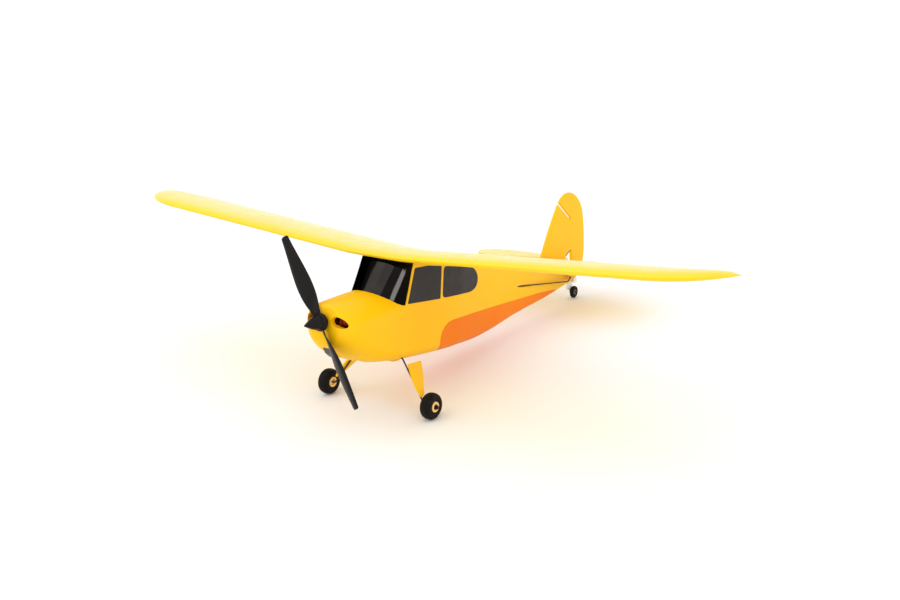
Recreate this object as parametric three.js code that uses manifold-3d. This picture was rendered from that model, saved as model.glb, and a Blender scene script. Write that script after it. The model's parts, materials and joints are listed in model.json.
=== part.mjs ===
// Park-size electric foam aeroplane, high wing, tail-dragger, standing on its three wheels.
// The airframe is drawn in body axes: X to the left wing tip, Y towards the tail, Z up,
// origin at the propeller hub. At the end everything is pitched nose-up onto the ground.
import * as THREE from 'three';
import { mergeVertices } from 'three/addons/utils/BufferGeometryUtils.js';
import Module from 'manifold-3d';

const wasm = await Module();
wasm.setup();

// ---------------------------------------------------------------- driving dimensions (mm, degrees)
const GAP = 0.3;
const GROUND_PITCH = 10.76;

const SHAFT_DOWN = 3.3;
const SHAFT_RIGHT = 1.9;
const PROP_RADIUS = 65;
const PROP_PITCH = 70;
const PROP_LEAN = 31.7;
const SPINNER_TIP = 15.3;
const SPINNER_RADIUS = 5.2;
const HUB_RADIUS = 6.3;
const HUB_HALF_LENGTH = 2.4;

const WING_HALF_SPAN = 257.5;
const WING_LE = 51.4;
const WING_CHORD = 80.7;
const WING_ROOT_Z = 38.4;
const WING_DIHEDRAL = 4.05;
const WING_INCIDENCE = 2.3;
const WING_TIP_START = 206;
const WING_TIP_SWEEP = 46;
const WING_TIP_LIFT = 3.4;
const WING_FLAT_CENTRE = 22;

const FOAM_WALL = 3;
const DECK_END = 65;
const CABIN_START = 72.4;
const CABIN_END = 131;
const TAIL_END = 315.6;
const STERN_END = 329.6;

const PANEL = 0.6;
const SHEET = 2.5;
const STAB_Z = 13.2;
const STAB_END = 86;
const ELEVATOR_AXIS_Y = 317;
const HINGE_GAP = 0.95;

const WIRE = 0.6;
const MAIN_WHEEL = [48.6, 67.2, -61.7];
const GEAR_CROSS_Z = -31.6;
const GEAR_PLATE_BOTTOM = -34.8;
const MAIN_WHEEL_RADIUS = 9.75;
const MAIN_WHEEL_WIDTH = 8.6;
const MAIN_DISH = [2.1, 2];
const MAIN_HUB_RADIUS = 3.9;
const LEG_SPLAY = 0.725;
const LEG_INSET = 6.225;
const FAIRING_THICKNESS = 1.6;
const TAIL_WHEEL = [0, 337.4, -14.8];
const TAIL_WHEEL_RADIUS = 5.4;
const TAIL_WHEEL_WIDTH = 3;
const TAIL_DISH = [1.3, 0.7];

const SPUR_RADIUS = 8;
const SPUR_TEETH = 36;
const PINION_RADIUS = 2;
const PINION_TEETH = 9;
const MOTOR_DROP = SPUR_RADIUS + PINION_RADIUS + GAP;
const MOTOR_RADIUS = 4.25;
const MOTOR_LENGTH = 20;
const PROP_SHAFT_RADIUS = 0.75;
const GEARBOX_FRONT = 11.6;
const GEARBOX_FACE = 13;

const ROD_RADIUS = 0.5;
const RUDDER_HORN = [-8.6, 330.6, -3.2];
const RUDDER_ROD_EXIT = [-10.6, 228, 3.2];
const ELEVATOR_HORN = [8, 317, 1.4];
const ELEVATOR_ROD_KNEE = [8, 312.4, -1.8];
const ELEVATOR_ROD_EXIT = [10.4, 228, 2.8];
const SERVO_Y = 112;

const BATTERY = [18, 31, 7.2];
const BATTERY_CENTRE = [0, 45.4, -22];
const BATTERY_TRAY_BOTTOM = -16.9;

// Fuselage stations: y, half width, top, bottom, top corner (wide, high), bottom corner (wide, high)
const STATIONS = [
  [4, 11.8, 10, -15.8, 8.5, 8.5, 9.5, 11],
  [6, 16.4, 11.6, -18.2, 13, 11, 13.5, 15],
  [9.5, 20.2, 12.4, -21, 18, 14, 17, 17],
  [15, 22.8, 13.3, -24.6, 21.5, 16, 19, 18],
  [25, 24, 14.7, -29, 23.5, 17, 19, 16.5],
  [38, 24, 16.5, -32.4, 23.7, 17, 17, 13.5],
  [52, 23.7, 17.7, -33.3, 23.6, 15, 13.5, 9.5],
  [DECK_END, 23.5, 18, -34.1, 23.4, 11.5, 12, 8.5],
  [CABIN_START, 23.4, 41.2, -34.4, 2, 2, 12, 8.5],
  [95, 23.2, 40.2, -34.5, 2, 2, 12, 8.5],
  [CABIN_END, 21.7, 38.8, -34.0, 2, 2, 11, 8],
  [133, 21.5, 35.8, -33.9, 4, 3, 11, 8],
  [160, 18.4, 33.4, -32.7, 5, 4, 9, 7],
  [182, 15.9, 31.2, -30.3, 5, 4, 8, 6],
  [233, 10.8, 26, -20.9, 4, 4, 6, 5],
  [278, 6.6, 21.4, -14.1, 3, 3, 4, 4],
  [TAIL_END, 3.6, 17.4, -6.4, 1.5, 1.5, 1.8, 2],
  [STERN_END, 2.4, 15.8, -3.7, 1, 1, 1.2, 1.5],
];
const CORNER_STEPS = 3;

const FRONT_WINDOW = [[66.7, 8.5], [106.5, 8.1], [105.9, 32.6], [88.5, 34.5], [72.9, 34.1]];
const REAR_WINDOW = [[109.1, 8.2], [150.5, 8.2], [157.6, 10.8], [160.2, 16], [158.4, 21.6], [152, 26.7],
  [130, 29.8], [108.5, 32.3]];
const STRIPE = [[109, -40], [109, -24], [110.5, -18.5], [113.5, -14.5], [118.5, -11.4], [126, -10.2],
  [160, -9.2], [236, -7.7], [270, -7.2], [299, -7.6], [299, -40]];

const FIN = [[276.5, 17.5], [288, 44], [299.3, 65.3], [319.6, 52.2], [324.8, 23.4], [323, 22.9],
  [320.6, 21.4], [318.6, 19.4], [317.6, 17.4]];
const RUDDER = [[328.3, 9.7], [321, 53.1], [300.3, 66.9], [305.6, 71.9], [311, 74.5], [318.5, 75.2],
  [327.2, 72.4], [334.6, 67], [338.9, 61.8], [341.4, 56.4], [344.1, 47], [345.8, 39], [346.8, 33],
  [347.2, 11.7], [344.6, 5], [340, 0.8], [334.8, -2.6], [330.6, -4.2]];
const STABILISER = [[0, 281], [20, 284], [45, 288], [66, 292.5], [77, 297], [83.6, 304], [STAB_END, 313]];
const ELEVATOR_TIP = [[85.2, 322], [80.8, 330], [70.5, 336], [52, 340.2], [30, 342.2], [11.6, 342.8]];
const NOTCH_FRONT = [2.8, 326];

const WING_STATIONS = [WING_FLAT_CENTRE, 50, 100, 150, 190, WING_TIP_START, 222, 235, 245, 251.5, 255.4,
  257.2];
const AEROFOIL_TOP = [[0, 0.034], [0.012, 0.055], [0.05, 0.073], [0.13, 0.088], [0.3, 0.096],
  [0.5, 0.084], [0.7, 0.058], [0.87, 0.029], [1, 0.01]];
const AEROFOIL_BOTTOM = [[1, 0], [0.6, 0], [0.25, 0], [0.06, 0.004], [0.012, 0.018]];

const BLADE = [[3, 6], [8, 6.4], [14, 9], [21, 11.4], [29, 12.4], [38, 11.6], [48, 9.6], [58, 7.4],
  [PROP_RADIUS - 1.2, 5.8], [PROP_RADIUS, 4]];

const FINISH = {
  wing_foam: [0xf7d92a, 0.62, 0],
  body_foam: [0xfbbd1f, 0.6, 0],
  stripe: [0xf0781c, 0.55, 0],
  window_film: [0x3c3a3e, 0.35, 0],
  screen_plastic: [0x0b0b0c, 0.12, 0],
  black_nylon: [0x141416, 0.4, 0],
  grey_nylon: [0x4a4a4e, 0.5, 0],
  white_nylon: [0xe9ecec, 0.35, 0],
  yellow_nylon: [0xf2b428, 0.4, 0],
  tyre_foam: [0x121212, 0.85, 0],
  hub_plastic: [0xf3c56a, 0.5, 0],
  wire_steel: [0x3a3a3c, 0.35, 0.9],
  motor_steel: [0xb8bcc0, 0.3, 0.9],
  brass: [0xc6a04a, 0.3, 0.9],
  carbon: [0x1b1b1d, 0.45, 0.1],
  engine_red: [0x5a1a10, 0.55, 0],
  circuit_board: [0x1d5a34, 0.5, 0],
  plywood: [0xc9a26c, 0.7, 0],
  battery_wrap: [0x2f5f9e, 0.4, 0],
  hook_tape: [0xd8d8d2, 0.95, 0],
};

// ---------------------------------------------------------------- solid helpers
function solidOf(geometry) {
  const bare = geometry.clone();
  bare.deleteAttribute('normal');
  bare.deleteAttribute('uv');
  const merged = mergeVertices(bare, 1e-5);
  const mesh = new wasm.Mesh({
    numProp: 3,
    vertProperties: new Float32Array(merged.attributes.position.array),
    triVerts: new Uint32Array(merged.index.array),
  });
  mesh.merge();
  return new wasm.Manifold(mesh);
}

function geometryOf(solid) {
  const mesh = solid.getMesh();
  const geometry = new THREE.BufferGeometry();
  geometry.setAttribute('position', new THREE.BufferAttribute(new Float32Array(mesh.vertProperties), 3));
  geometry.setIndex(new THREE.BufferAttribute(new Uint32Array(mesh.triVerts), 1));
  const flat = geometry.toNonIndexed();
  flat.computeVertexNormals();
  return flat;
}

function union(solids) {
  return solids.reduce((sum, solid) => sum.add(solid));
}

function box(x0, x1, y0, y1, z0, z1) {
  const geometry = new THREE.BoxGeometry(x1 - x0, y1 - y0, z1 - z0);
  geometry.translate((x0 + x1) / 2, (y0 + y1) / 2, (z0 + z1) / 2);
  return solidOf(geometry);
}

// Round bar between two points, with an optional second radius at the far end.
function bar(from, to, radius, sides = 12, endRadius = radius) {
  const start = new THREE.Vector3(...from);
  const along = new THREE.Vector3(...to).sub(start);
  const geometry = new THREE.CylinderGeometry(endRadius, radius, along.length(), sides);
  const upright = new THREE.Vector3(0, 1, 0);
  const turn = new THREE.Quaternion().setFromUnitVectors(upright, along.clone().normalize());
  geometry.applyQuaternion(turn);
  geometry.translate(...start.addScaledVector(along, 0.5).toArray());
  return solidOf(geometry);
}

function tube(from, to, outer, inner, sides = 20) {
  return bar(from, to, outer, sides).subtract(boredThrough(from, to, inner, sides));
}

function boredThrough(from, to, radius, sides = 20) {
  const start = new THREE.Vector3(...from);
  const step = new THREE.Vector3(...to).sub(start).normalize();
  const end = new THREE.Vector3(...to).add(step);
  return bar(start.sub(step).toArray(), end.toArray(), radius, sides);
}

// Round wire along straight runs, mitred at every bend.
function bentWire(points, radius, sides = 10) {
  const path = points.map((point) => new THREE.Vector3(...point));
  const runs = path.slice(1).map((point, i) => point.clone().sub(path[i]).normalize());
  const across = Math.abs(runs[0].y) < 0.9 ? new THREE.Vector3(0, 1, 0) : new THREE.Vector3(1, 0, 0);
  const side = across.cross(runs[0]).normalize();
  const other = runs[0].clone().cross(side);
  let offsets = [];
  for (let k = 0; k < sides; k += 1) {
    const angle = (k / sides) * Math.PI * 2;
    offsets.push(side.clone().multiplyScalar(radius * Math.cos(angle))
      .addScaledVector(other, radius * Math.sin(angle)));
  }
  const rings = [offsets.map((offset) => path[0].clone().add(offset).toArray())];
  for (let i = 1; i < path.length; i += 1) {
    const run = runs[i - 1];
    const next = runs[Math.min(i, runs.length - 1)];
    const mitre = run.clone().add(next).normalize();
    const onMitre = offsets.map((o) => o.clone().addScaledVector(run, -o.dot(mitre) / run.dot(mitre)));
    rings.push(onMitre.map((offset) => path[i].clone().add(offset).toArray()));
    offsets = onMitre.map((offset) => offset.clone().addScaledVector(next, -offset.dot(next)));
  }
  return loft(rings);
}

// Flat outline of [y, z] points, given thickness along X.
function sideProfile(outline, x0, x1) {
  const shape = new THREE.Shape(outline.map(([y, z]) => new THREE.Vector2(y, z)));
  const geometry = new THREE.ExtrudeGeometry(shape, { depth: x1 - x0, bevelEnabled: false });
  geometry.applyMatrix4(new THREE.Matrix4().set(0, 0, 1, x0, 1, 0, 0, 0, 0, 1, 0, 0, 0, 0, 0, 1));
  return solidOf(geometry);
}

// Flat outline of [x, y] points, given thickness along Z.
function planProfile(outline, z0, z1) {
  const shape = new THREE.Shape(outline.map(([x, y]) => new THREE.Vector2(x, y)));
  const geometry = new THREE.ExtrudeGeometry(shape, { depth: z1 - z0, bevelEnabled: false });
  geometry.translate(0, 0, z0);
  return solidOf(geometry);
}

// Skin stretched over closed rings of equal point count, with a fan over each end.
function loft(rings) {
  const count = rings[0].length;
  const points = rings.flat();
  const faces = [];
  for (let i = 0; i < rings.length - 1; i += 1) {
    for (let j = 0; j < count; j += 1) {
      const a = i * count + j;
      const b = i * count + ((j + 1) % count);
      faces.push(a, b, b + count, a, b + count, a + count);
    }
  }
  const endFan = (start, reversed) => {
    const centre = points.length;
    const ring = rings[start / count];
    points.push([0, 1, 2].map((k) => ring.reduce((sum, p) => sum + p[k], 0) / count));
    for (let j = 0; j < count; j += 1) {
      const a = start + j;
      const b = start + ((j + 1) % count);
      faces.push(centre, reversed ? b : a, reversed ? a : b);
    }
  };
  endFan(0, true);
  endFan((rings.length - 1) * count, false);
  const volume = signedVolume(points, faces);
  const order = volume > 0 ? faces : faces.map((_, i) => faces[i - (i % 3) + 2 - (i % 3)]);
  const geometry = new THREE.BufferGeometry();
  geometry.setAttribute('position', new THREE.Float32BufferAttribute(points.flat(), 3));
  geometry.setIndex(order);
  return solidOf(geometry);
}

function signedVolume(points, faces) {
  const [a, b, c] = [new THREE.Vector3(), new THREE.Vector3(), new THREE.Vector3()];
  let sum = 0;
  for (let i = 0; i < faces.length; i += 3) {
    a.fromArray(points[faces[i]]);
    b.fromArray(points[faces[i + 1]]);
    c.fromArray(points[faces[i + 2]]);
    sum += a.dot(b.cross(c)) / 6;
  }
  return sum;
}

// Solid of revolution about an axis parallel to X through the wheel centre; profile is [x, radius].
function turned(profile, centre, sides = 24) {
  const rings = profile.map(([x, radius]) => {
    const ring = [];
    for (let i = 0; i < sides; i += 1) {
      const angle = (i / sides) * Math.PI * 2;
      ring.push([centre[0] + x, centre[1] + radius * Math.cos(angle), centre[2] + radius * Math.sin(angle)]);
    }
    return ring;
  });
  return loft(rings);
}

// Same, about an axis parallel to Y through the origin; profile is [y, radius].
function turnedAlong(profile, sides = 24) {
  const rings = profile.map(([y, radius]) => {
    const ring = [];
    for (let i = 0; i < sides; i += 1) {
      const angle = (i / sides) * Math.PI * 2;
      ring.push([radius * Math.sin(angle), y, radius * Math.cos(angle)]);
    }
    return ring;
  });
  return loft(rings);
}

function mirrored(solid) {
  return solid.mirror([1, 0, 0]);
}

function sine(degrees) {
  return Math.sin((degrees * Math.PI) / 180);
}

function cosine(degrees) {
  return Math.cos((degrees * Math.PI) / 180);
}

// Drive line: moves a solid drawn along Y onto the tilted propeller shaft.
function onShaft(solid) {
  return solid.rotate([SHAFT_DOWN, 0, 0]).rotate([0, 0, -SHAFT_RIGHT]);
}

// ---------------------------------------------------------------- fuselage
function fuselageRing([y, half, top, bottom, topWide, topHigh, lowWide, lowHigh], inset) {
  const ring = [];
  const corner = (cx, cz, wide, high, from) => {
    for (let i = 0; i <= CORNER_STEPS; i += 1) {
      const angle = from + (i / CORNER_STEPS) * 90;
      ring.push([cx + wide * cosine(angle), y, cz + high * sine(angle)]);
    }
  };
  const w = half - inset;
  const t = top - inset;
  const b = bottom + inset;
  const tw = Math.max(topWide - inset, 0.3);
  const th = Math.max(topHigh - inset, 0.3);
  const lw = Math.max(lowWide - inset, 0.3);
  const lh = Math.max(lowHigh - inset, 0.3);
  corner(w - tw, t - th, tw, th, 0);
  corner(-w + tw, t - th, tw, th, 90);
  corner(-w + lw, b + lh, lw, lh, 180);
  corner(w - lw, b + lh, lw, lh, 270);
  return ring;
}

function fuselageLoft(inset, stations = STATIONS) {
  return loft(stations.map((station) => fuselageRing(station, inset)));
}

// The space inside the foam: nose bay, cabin and tail cone in one run.
function fuselageHollow() {
  const stations = STATIONS.filter(([y]) => y >= 9.5 && y <= 278).map((station) => [...station]);
  for (const station of stations) {
    if (station[0] === DECK_END) {
      station[0] = DECK_END - 1.5;
    } else if (station[0] === CABIN_START) {
      station[0] = CABIN_START + 3.5;
    }
  }
  return fuselageLoft(FOAM_WALL, stations);
}

// Flat-bottomed V block that stands for the wing underside; drop lowers it.
function wingSeatCutter(drop) {
  const front = 46;
  const back = 132.2;
  const ring = (x) => {
    const rise = wingRise(x) - drop;
    return [[x, front, seatHeight(front) + rise], [x, back, seatHeight(back) + rise],
      [x, back, 90], [x, front, 90]];
  };
  return loft([-40, -WING_FLAT_CENTRE, WING_FLAT_CENTRE, 40].map(ring));
}

function seatHeight(y) {
  return WING_ROOT_Z - (y - WING_LE) * Math.tan((WING_INCIDENCE * Math.PI) / 180);
}

// Dihedral: the wing underside is flat across the cabin and rises evenly outside it.
function wingRise(x) {
  return Math.max(Math.abs(x), WING_FLAT_CENTRE) * Math.tan((WING_DIHEDRAL * Math.PI) / 180);
}

function skinLayer(depth) {
  return fuselageLoft(-1).subtract(fuselageLoft(depth));
}

function sidePanel(outline, grow, depth) {
  const middleY = outline.reduce((sum, p) => sum + p[0], 0) / outline.length;
  const middleZ = outline.reduce((sum, p) => sum + p[1], 0) / outline.length;
  const grown = outline.map(([y, z]) => [
    y + Math.sign(y - middleY) * grow,
    z + Math.sign(z - middleZ) * grow,
  ]);
  return sideProfile(grown, 0.5, 60).intersect(skinLayer(depth));
}

function panelPiece(outline) {
  return sidePanel(outline, 0, PANEL).intersect(fuselageLoft(0)).subtract(wingSeatCutter(GAP));
}

function panelPocket(outline) {
  return sidePanel(outline, GAP, PANEL + GAP);
}

function nostrilCutter() {
  const outline = [[5.8, 0.6], [8.2, 4.4], [12.4, 5], [17.4, 2.6], [19.4, -0.6], [18, -2.8], [12.6, -3],
    [8.4, -1.8]];
  const shape = new THREE.Shape(outline.map(([x, z]) => new THREE.Vector2(x, z)));
  const geometry = new THREE.ExtrudeGeometry(shape, { depth: 20, bevelEnabled: false });
  geometry.applyMatrix4(new THREE.Matrix4().set(1, 0, 0, 0, 0, 0, -1, 14, 0, 1, 0, 0, 0, 0, 0, 1));
  return solidOf(geometry);
}

function rodSlot(horn, exit) {
  const direction = new THREE.Vector3(...horn).sub(new THREE.Vector3(...exit)).normalize();
  const start = new THREE.Vector3(...exit).addScaledVector(direction, -116);
  return bar(start.toArray(), horn, ROD_RADIUS + 0.45, 12);
}

function fuselageShell() {
  let shell = fuselageLoft(0).subtract(fuselageHollow()).subtract(wingSeatCutter(GAP));
  const nostril = nostrilCutter();
  const windows = [FRONT_WINDOW, REAR_WINDOW, STRIPE].map(panelPocket);
  for (const cutter of [nostril, ...windows]) {
    shell = shell.subtract(cutter).subtract(mirrored(cutter));
  }
  const tailSlot = box(-12, 12, 280.2, 330, STAB_Z - SHEET / 2 - GAP, STAB_Z + SHEET / 2 + GAP);
  const finSlot = box(-SHEET / 2 - GAP, SHEET / 2 + GAP, 276, 330, 17.2, 40);
  const batteryMouth = box(-11.5, 11.5, 28.4, 62.4, -45, -24);
  const gearPocket = onShaft(union([bar([0, -5, 0], [0, 20, 0], 2.6, 16),
    bar([0, 8, 0], [0, 14, 0], SPUR_RADIUS + 0.8, 24),
    bar([0, 7.4, -MOTOR_DROP], [0, 14, -MOTOR_DROP], PINION_RADIUS + 1, 16)]));
  const gearY = MAIN_WHEEL[1];
  const plateSeat = box(-15.3, 15.3, gearY - 4.3, gearY + 4.3, -45, GEAR_CROSS_Z - WIRE);
  const legSlot = box(-27, 27, gearY - 0.9, gearY + 0.9, -45, GEAR_CROSS_Z + 0.9);
  const chinSeat = chinBlock(GAP);
  const sternCut = sideProfile([[TAIL_END, 11], [327.3, 7.8], [329.4, -8], [345, -8], [345, 60],
    [TAIL_END, 60]], -12, 12);
  const cutters = [tailSlot, finSlot, sternCut, batteryMouth, gearPocket, plateSeat, legSlot, chinSeat,
    rodSlot(RUDDER_HORN, RUDDER_ROD_EXIT), rodSlot(ELEVATOR_ROD_KNEE, ELEVATOR_ROD_EXIT)];
  for (const cutter of cutters) {
    shell = shell.subtract(cutter);
  }
  return shell;
}

function fuselageHalves() {
  const shell = fuselageShell();
  const left = shell.intersect(box(GAP / 2, 60, -10, 340, -60, 60));
  const right = shell.intersect(box(-60, -GAP / 2, -10, 340, -60, 60));
  return [left, right];
}

function deckHeight(x, y) {
  const after = STATIONS.findIndex((station) => station[0] >= y);
  const [a, b] = [STATIONS[after - 1], STATIONS[after]];
  const mix = (y - a[0]) / (b[0] - a[0]);
  const [, , top, , wide, high] = a.map((value, i) => value + (b[i] - value) * mix);
  return top - high + high * Math.sqrt(Math.max(0, 1 - (x / wide) ** 2));
}

// Wrap-round screen between the nose deck and the wing, ruled from its lower edge to its upper edge.
function windscreen() {
  const lowerEdge = [[0, 43.4], [4.5, 43.9], [8.6, 45.2], [13, 47.5], [17.5, 51.2], [21, 55.8], [22.7, 60.4],
    [23.3, 64]];
  const upperEdge = [[0, 57], [4.3, 57.3], [8.4, 58.3], [12.6, 60.2], [16.8, 63.2], [20.2, 66.6], [22, 69.1],
    [22.9, 71.6]];
  const thickness = 1;
  const last = lowerEdge.length - 1;
  const column = (i, side) => {
    const [bx, by] = lowerEdge[i];
    const [tx, ty] = upperEdge[i];
    const low = [side * bx, by, deckHeight(Math.min(bx, 22.8), by) - 1];
    const high = [side * tx, ty, seatHeight(ty) + wingRise(tx) - 2 * GAP];
    const back = i === last ? 0 : thickness;
    const inward = side * (i / last) * thickness;
    return [low, high, [high[0] - inward, ty + back, high[2]], [low[0] - inward, by + back, low[2]]];
  };
  const outward = lowerEdge.map((_, i) => i);
  const columns = [...outward].reverse().map((i) => column(i, -1));
  columns.push(...outward.slice(1).map((i) => column(i, 1)));
  return loft(columns).subtract(fuselageLoft(-GAP));
}

// ---------------------------------------------------------------- wing and tail
// The tip is an ellipse swept back: the leading edge gives way sooner than the trailing edge.
function wingRing(x) {
  const reach = Math.max(0, (Math.abs(x) - WING_TIP_START) / (WING_HALF_SPAN - WING_TIP_START));
  const frontShare = Math.sqrt(1 - reach ** 2.6);
  const backShare = Math.sqrt(1 - reach ** 4.5);
  const front = WING_LE + WING_TIP_SWEEP * (1 - frontShare);
  const back = WING_LE + WING_CHORD - (WING_CHORD - WING_TIP_SWEEP) * (1 - backShare);
  const chord = back - front;
  const share = chord / WING_CHORD;
  const thick = WING_CHORD * share ** 0.8;
  const lift = wingRise(x);
  const tipLift = WING_TIP_LIFT * reach ** 3;
  return [...AEROFOIL_TOP, ...AEROFOIL_BOTTOM].map(([along, up]) => {
    const y = front + along * chord;
    return [x, y, seatHeight(y) + lift + tipLift + up * thick];
  });
}

function sparOutline(side, grow) {
  const ring = (x) => {
    const lift = wingRise(x);
    const front = 74 - grow;
    const back = 77 + grow;
    const low = lift + (grow > 0 ? -1 : 0);
    const high = lift + 0.8 + grow;
    return [[x, front, seatHeight(front) + low], [x, back, seatHeight(back) + low],
      [x, back, seatHeight(back) + high], [x, front, seatHeight(front) + high]];
  };
  return loft([ring(side * (28 - grow)), ring(side * (190 + grow))]);
}

function wing() {
  const negative = [...WING_STATIONS].reverse().map((x) => -x);
  const body = loft([...negative, ...WING_STATIONS].map(wingRing));
  return body.subtract(sparOutline(1, GAP)).subtract(sparOutline(-1, GAP));
}

function stabiliser() {
  const port = [...STABILISER, [STAB_END, ELEVATOR_AXIS_Y - HINGE_GAP]];
  const starboard = port.slice(1).reverse().map(([x, y]) => [-x, y]);
  return planProfile([...port, ...starboard], STAB_Z - SHEET / 2, STAB_Z + SHEET / 2);
}

function elevator() {
  const port = [[STAB_END, ELEVATOR_AXIS_Y], ...ELEVATOR_TIP, NOTCH_FRONT];
  const starboard = port.map(([x, y]) => [-x, y]).reverse();
  return planProfile([...port, ...starboard], STAB_Z - SHEET / 2, STAB_Z + SHEET / 2);
}

// Upright arm under the elevator; its slotted hole lets the straight pushrod follow the arc.
function elevatorHorn() {
  const [rodX, y, z] = ELEVATOR_HORN;
  const x = rodX - 1.7;
  const top = STAB_Z - SHEET / 2 - GAP;
  const outline = [[y + 1.2, top], [y + 8, top], [y + 2.6, z - 1.8], [y + 1, z - 2.9], [y - 1, z - 2.9],
    [y - 2.2, z - 1.8], [y - 2.2, z + 2.2]];
  const arm = sideProfile(outline, x - 0.5, x + 0.5);
  const foot = box(x - 3, x + 3, y + 1.2, y + 8, top - 0.8, top);
  return arm.add(foot).subtract(box(x - 3, x + 3, y - 1.05, y + 1.05, z - 1.75, z + 0.85));
}

// White moulding under the rudder: clip over the foam, steering arm to the right, leg to the wheel.
// The slot in the arm lets the straight pushrod follow the arc of the rudder.
function tailBracket() {
  const inner = SHEET / 2 + GAP;
  const outer = inner + 0.9;
  const foamSlot = sideProfile([[329, 3], [343, 3], [343, 2.2], [340.2, 0.4], [335, -3], [330.6, -4.55],
    [329, -4.55]], -inner, inner);
  const clip = box(-outer, outer, 331.4, 336.8, -5.8, -1.4).subtract(foamSlot);
  const [, wheelY, wheelZ] = TAIL_WHEEL;
  const leg = sideProfile([[331.4, -4.9], [336.8, -4.9], [wheelY + 1.7, wheelZ + 1],
    [wheelY + 1.7, wheelZ - 1.6], [wheelY - 1.7, wheelZ - 1.6], [333.4, -12.6], [329, -12.4],
    [328.6, -10.4]], -outer - 1, -outer)
    .add(box(-outer - 1, -inner, 331.4, 336.8, -5.8, -4.9))
    .subtract(bar([-9, wheelY, wheelZ], [0, wheelY, wheelZ], 0.8, 12));
  const [x, y, z] = RUDDER_HORN;
  const arm = planProfile([[-1, 332.2], [-1, 336.4], [-3, 336], [x - 2.6, y + 2.1], [x - 2.6, y - 1.8],
    [x + 2.4, y - 1.8]], z - 2.6, z - 1.65);
  const slotted = arm.subtract(box(x - 1.65, x + 0.85, y - 1.05, y + 1.05, z - 4, z));
  return union([clip, leg, slotted]);
}

// ---------------------------------------------------------------- wheels and undercarriage
function legPoint(z, side) {
  return [side * (MAIN_WHEEL[0] - LEG_INSET + (MAIN_WHEEL[2] - z) * LEG_SPLAY), MAIN_WHEEL[1], z];
}

function gearWire() {
  const outer = MAIN_WHEEL[0] + MAIN_WHEEL_WIDTH / 2 + 2.4;
  const points = [
    [-outer, MAIN_WHEEL[1], MAIN_WHEEL[2]],
    legPoint(MAIN_WHEEL[2], -1),
    legPoint(GEAR_CROSS_Z, -1),
    legPoint(GEAR_CROSS_Z, 1),
    legPoint(MAIN_WHEEL[2], 1),
    [outer, MAIN_WHEEL[1], MAIN_WHEEL[2]],
  ];
  return bentWire(points, WIRE);
}

function gearPlate() {
  const [, y] = MAIN_WHEEL;
  return box(-15, 15, y - 4, y + 4, GEAR_PLATE_BOTTOM, GEAR_CROSS_Z - WIRE - GAP);
}

// Foam leg fairing on the outboard side of the wire, wide at the belly and narrow at the wheel.
function gearFairing() {
  const outline = [[67.7, -35.4], [64.8, -44], [64.3, -53], [65.6, -56.9], [70.2, -55.2], [73, -51],
    [78.9, -42.7], [82.8, -35.2]];
  const slab = sideProfile(outline, 0, 60);
  const slant = Math.hypot(1, LEG_SPLAY);
  const inner = (WIRE + GAP) * slant;
  const outer = inner + FAIRING_THICKNESS * slant;
  const ring = (y) => [[-30, inner], [-64, inner], [-64, outer], [-30, outer]].map(([z, out]) => [
    legPoint(z, 1)[0] + out, y, z]);
  return slab.intersect(loft([ring(60), ring(90)]));
}

// Bore through a whole wheel along its axle.
function axleBore([x, y, z], width, radius, sides) {
  return bar([x - width, y, z], [x + width, y, z], radius, sides);
}

function tyre(centre, radius, width, bore) {
  const half = width / 2;
  const profile = [[-half, radius * 0.62], [-half * 0.92, radius * 0.82], [-half * 0.66, radius * 0.95],
    [-half * 0.25, radius], [half * 0.25, radius], [half * 0.66, radius * 0.95],
    [half * 0.92, radius * 0.82], [half, radius * 0.62]];
  return turned(profile, centre).subtract(axleBore(centre, width, bore, 24));
}

// Wheel centre with a dish sunk into each face round the bore.
function wheelHub(centre, radius, width, bore, [dishRadius, dishDepth]) {
  const half = width / 2;
  const [x, y, z] = centre;
  const dishes = [-1, 1].map((side) => {
    const [bottom, mouth] = [x + side * (half - dishDepth), x + side * (half + 1)];
    return bar([bottom, y, z], [mouth, y, z], dishRadius, 16);
  });
  const profile = [[-half, radius - 0.5], [-half + 0.5, radius], [half - 0.5, radius], [half, radius - 0.5]];
  return turned(profile, centre, 20).subtract(union([axleBore(centre, width, bore, 16), ...dishes]));
}

function wheelCollar() {
  const [x, y, z] = MAIN_WHEEL;
  const inner = x + MAIN_WHEEL_WIDTH / 2 - 1.5;
  return tube([inner, y, z], [inner + 3, y, z], 1.55, WIRE + GAP, 16);
}

function tailAxle() {
  const [, y, z] = TAIL_WHEEL;
  return bar([-4.6, y, z], [2.6, y, z], 0.5, 12);
}

// ---------------------------------------------------------------- power train
function bladeRing(radius, chord) {
  const twist = Math.atan(PROP_PITCH / (2 * Math.PI * Math.max(radius, 9)));
  const thick = 0.13 * chord + 0.5;
  const outline = [[0.5, 0], [0.22, 0.62], [-0.22, 0.42], [-0.5, 0], [-0.22, -0.2], [0.22, -0.2]];
  return outline.map(([along, up]) => {
    const c = along * chord;
    const t = up * thick;
    const x = -c * Math.cos(twist) + t * Math.sin(twist);
    const y = -c * Math.sin(twist) - t * Math.cos(twist);
    return [x, y, radius];
  });
}

function propeller() {
  const blade = loft(BLADE.map(([radius, chord]) => bladeRing(radius, chord)));
  const hub = turnedAlong([[-HUB_HALF_LENGTH, HUB_RADIUS - 0.7], [-1, HUB_RADIUS],
    [1.2, HUB_RADIUS], [HUB_HALF_LENGTH, HUB_RADIUS - 0.8]]);
  const shaftBore = bar([0, -9, 0], [0, 9, 0], 1.1, 16);
  const whole = union([hub, blade, blade.rotate([0, 180, 0])]).subtract(shaftBore);
  return onShaft(whole.rotate([0, -PROP_LEAN, 0]));
}

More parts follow.
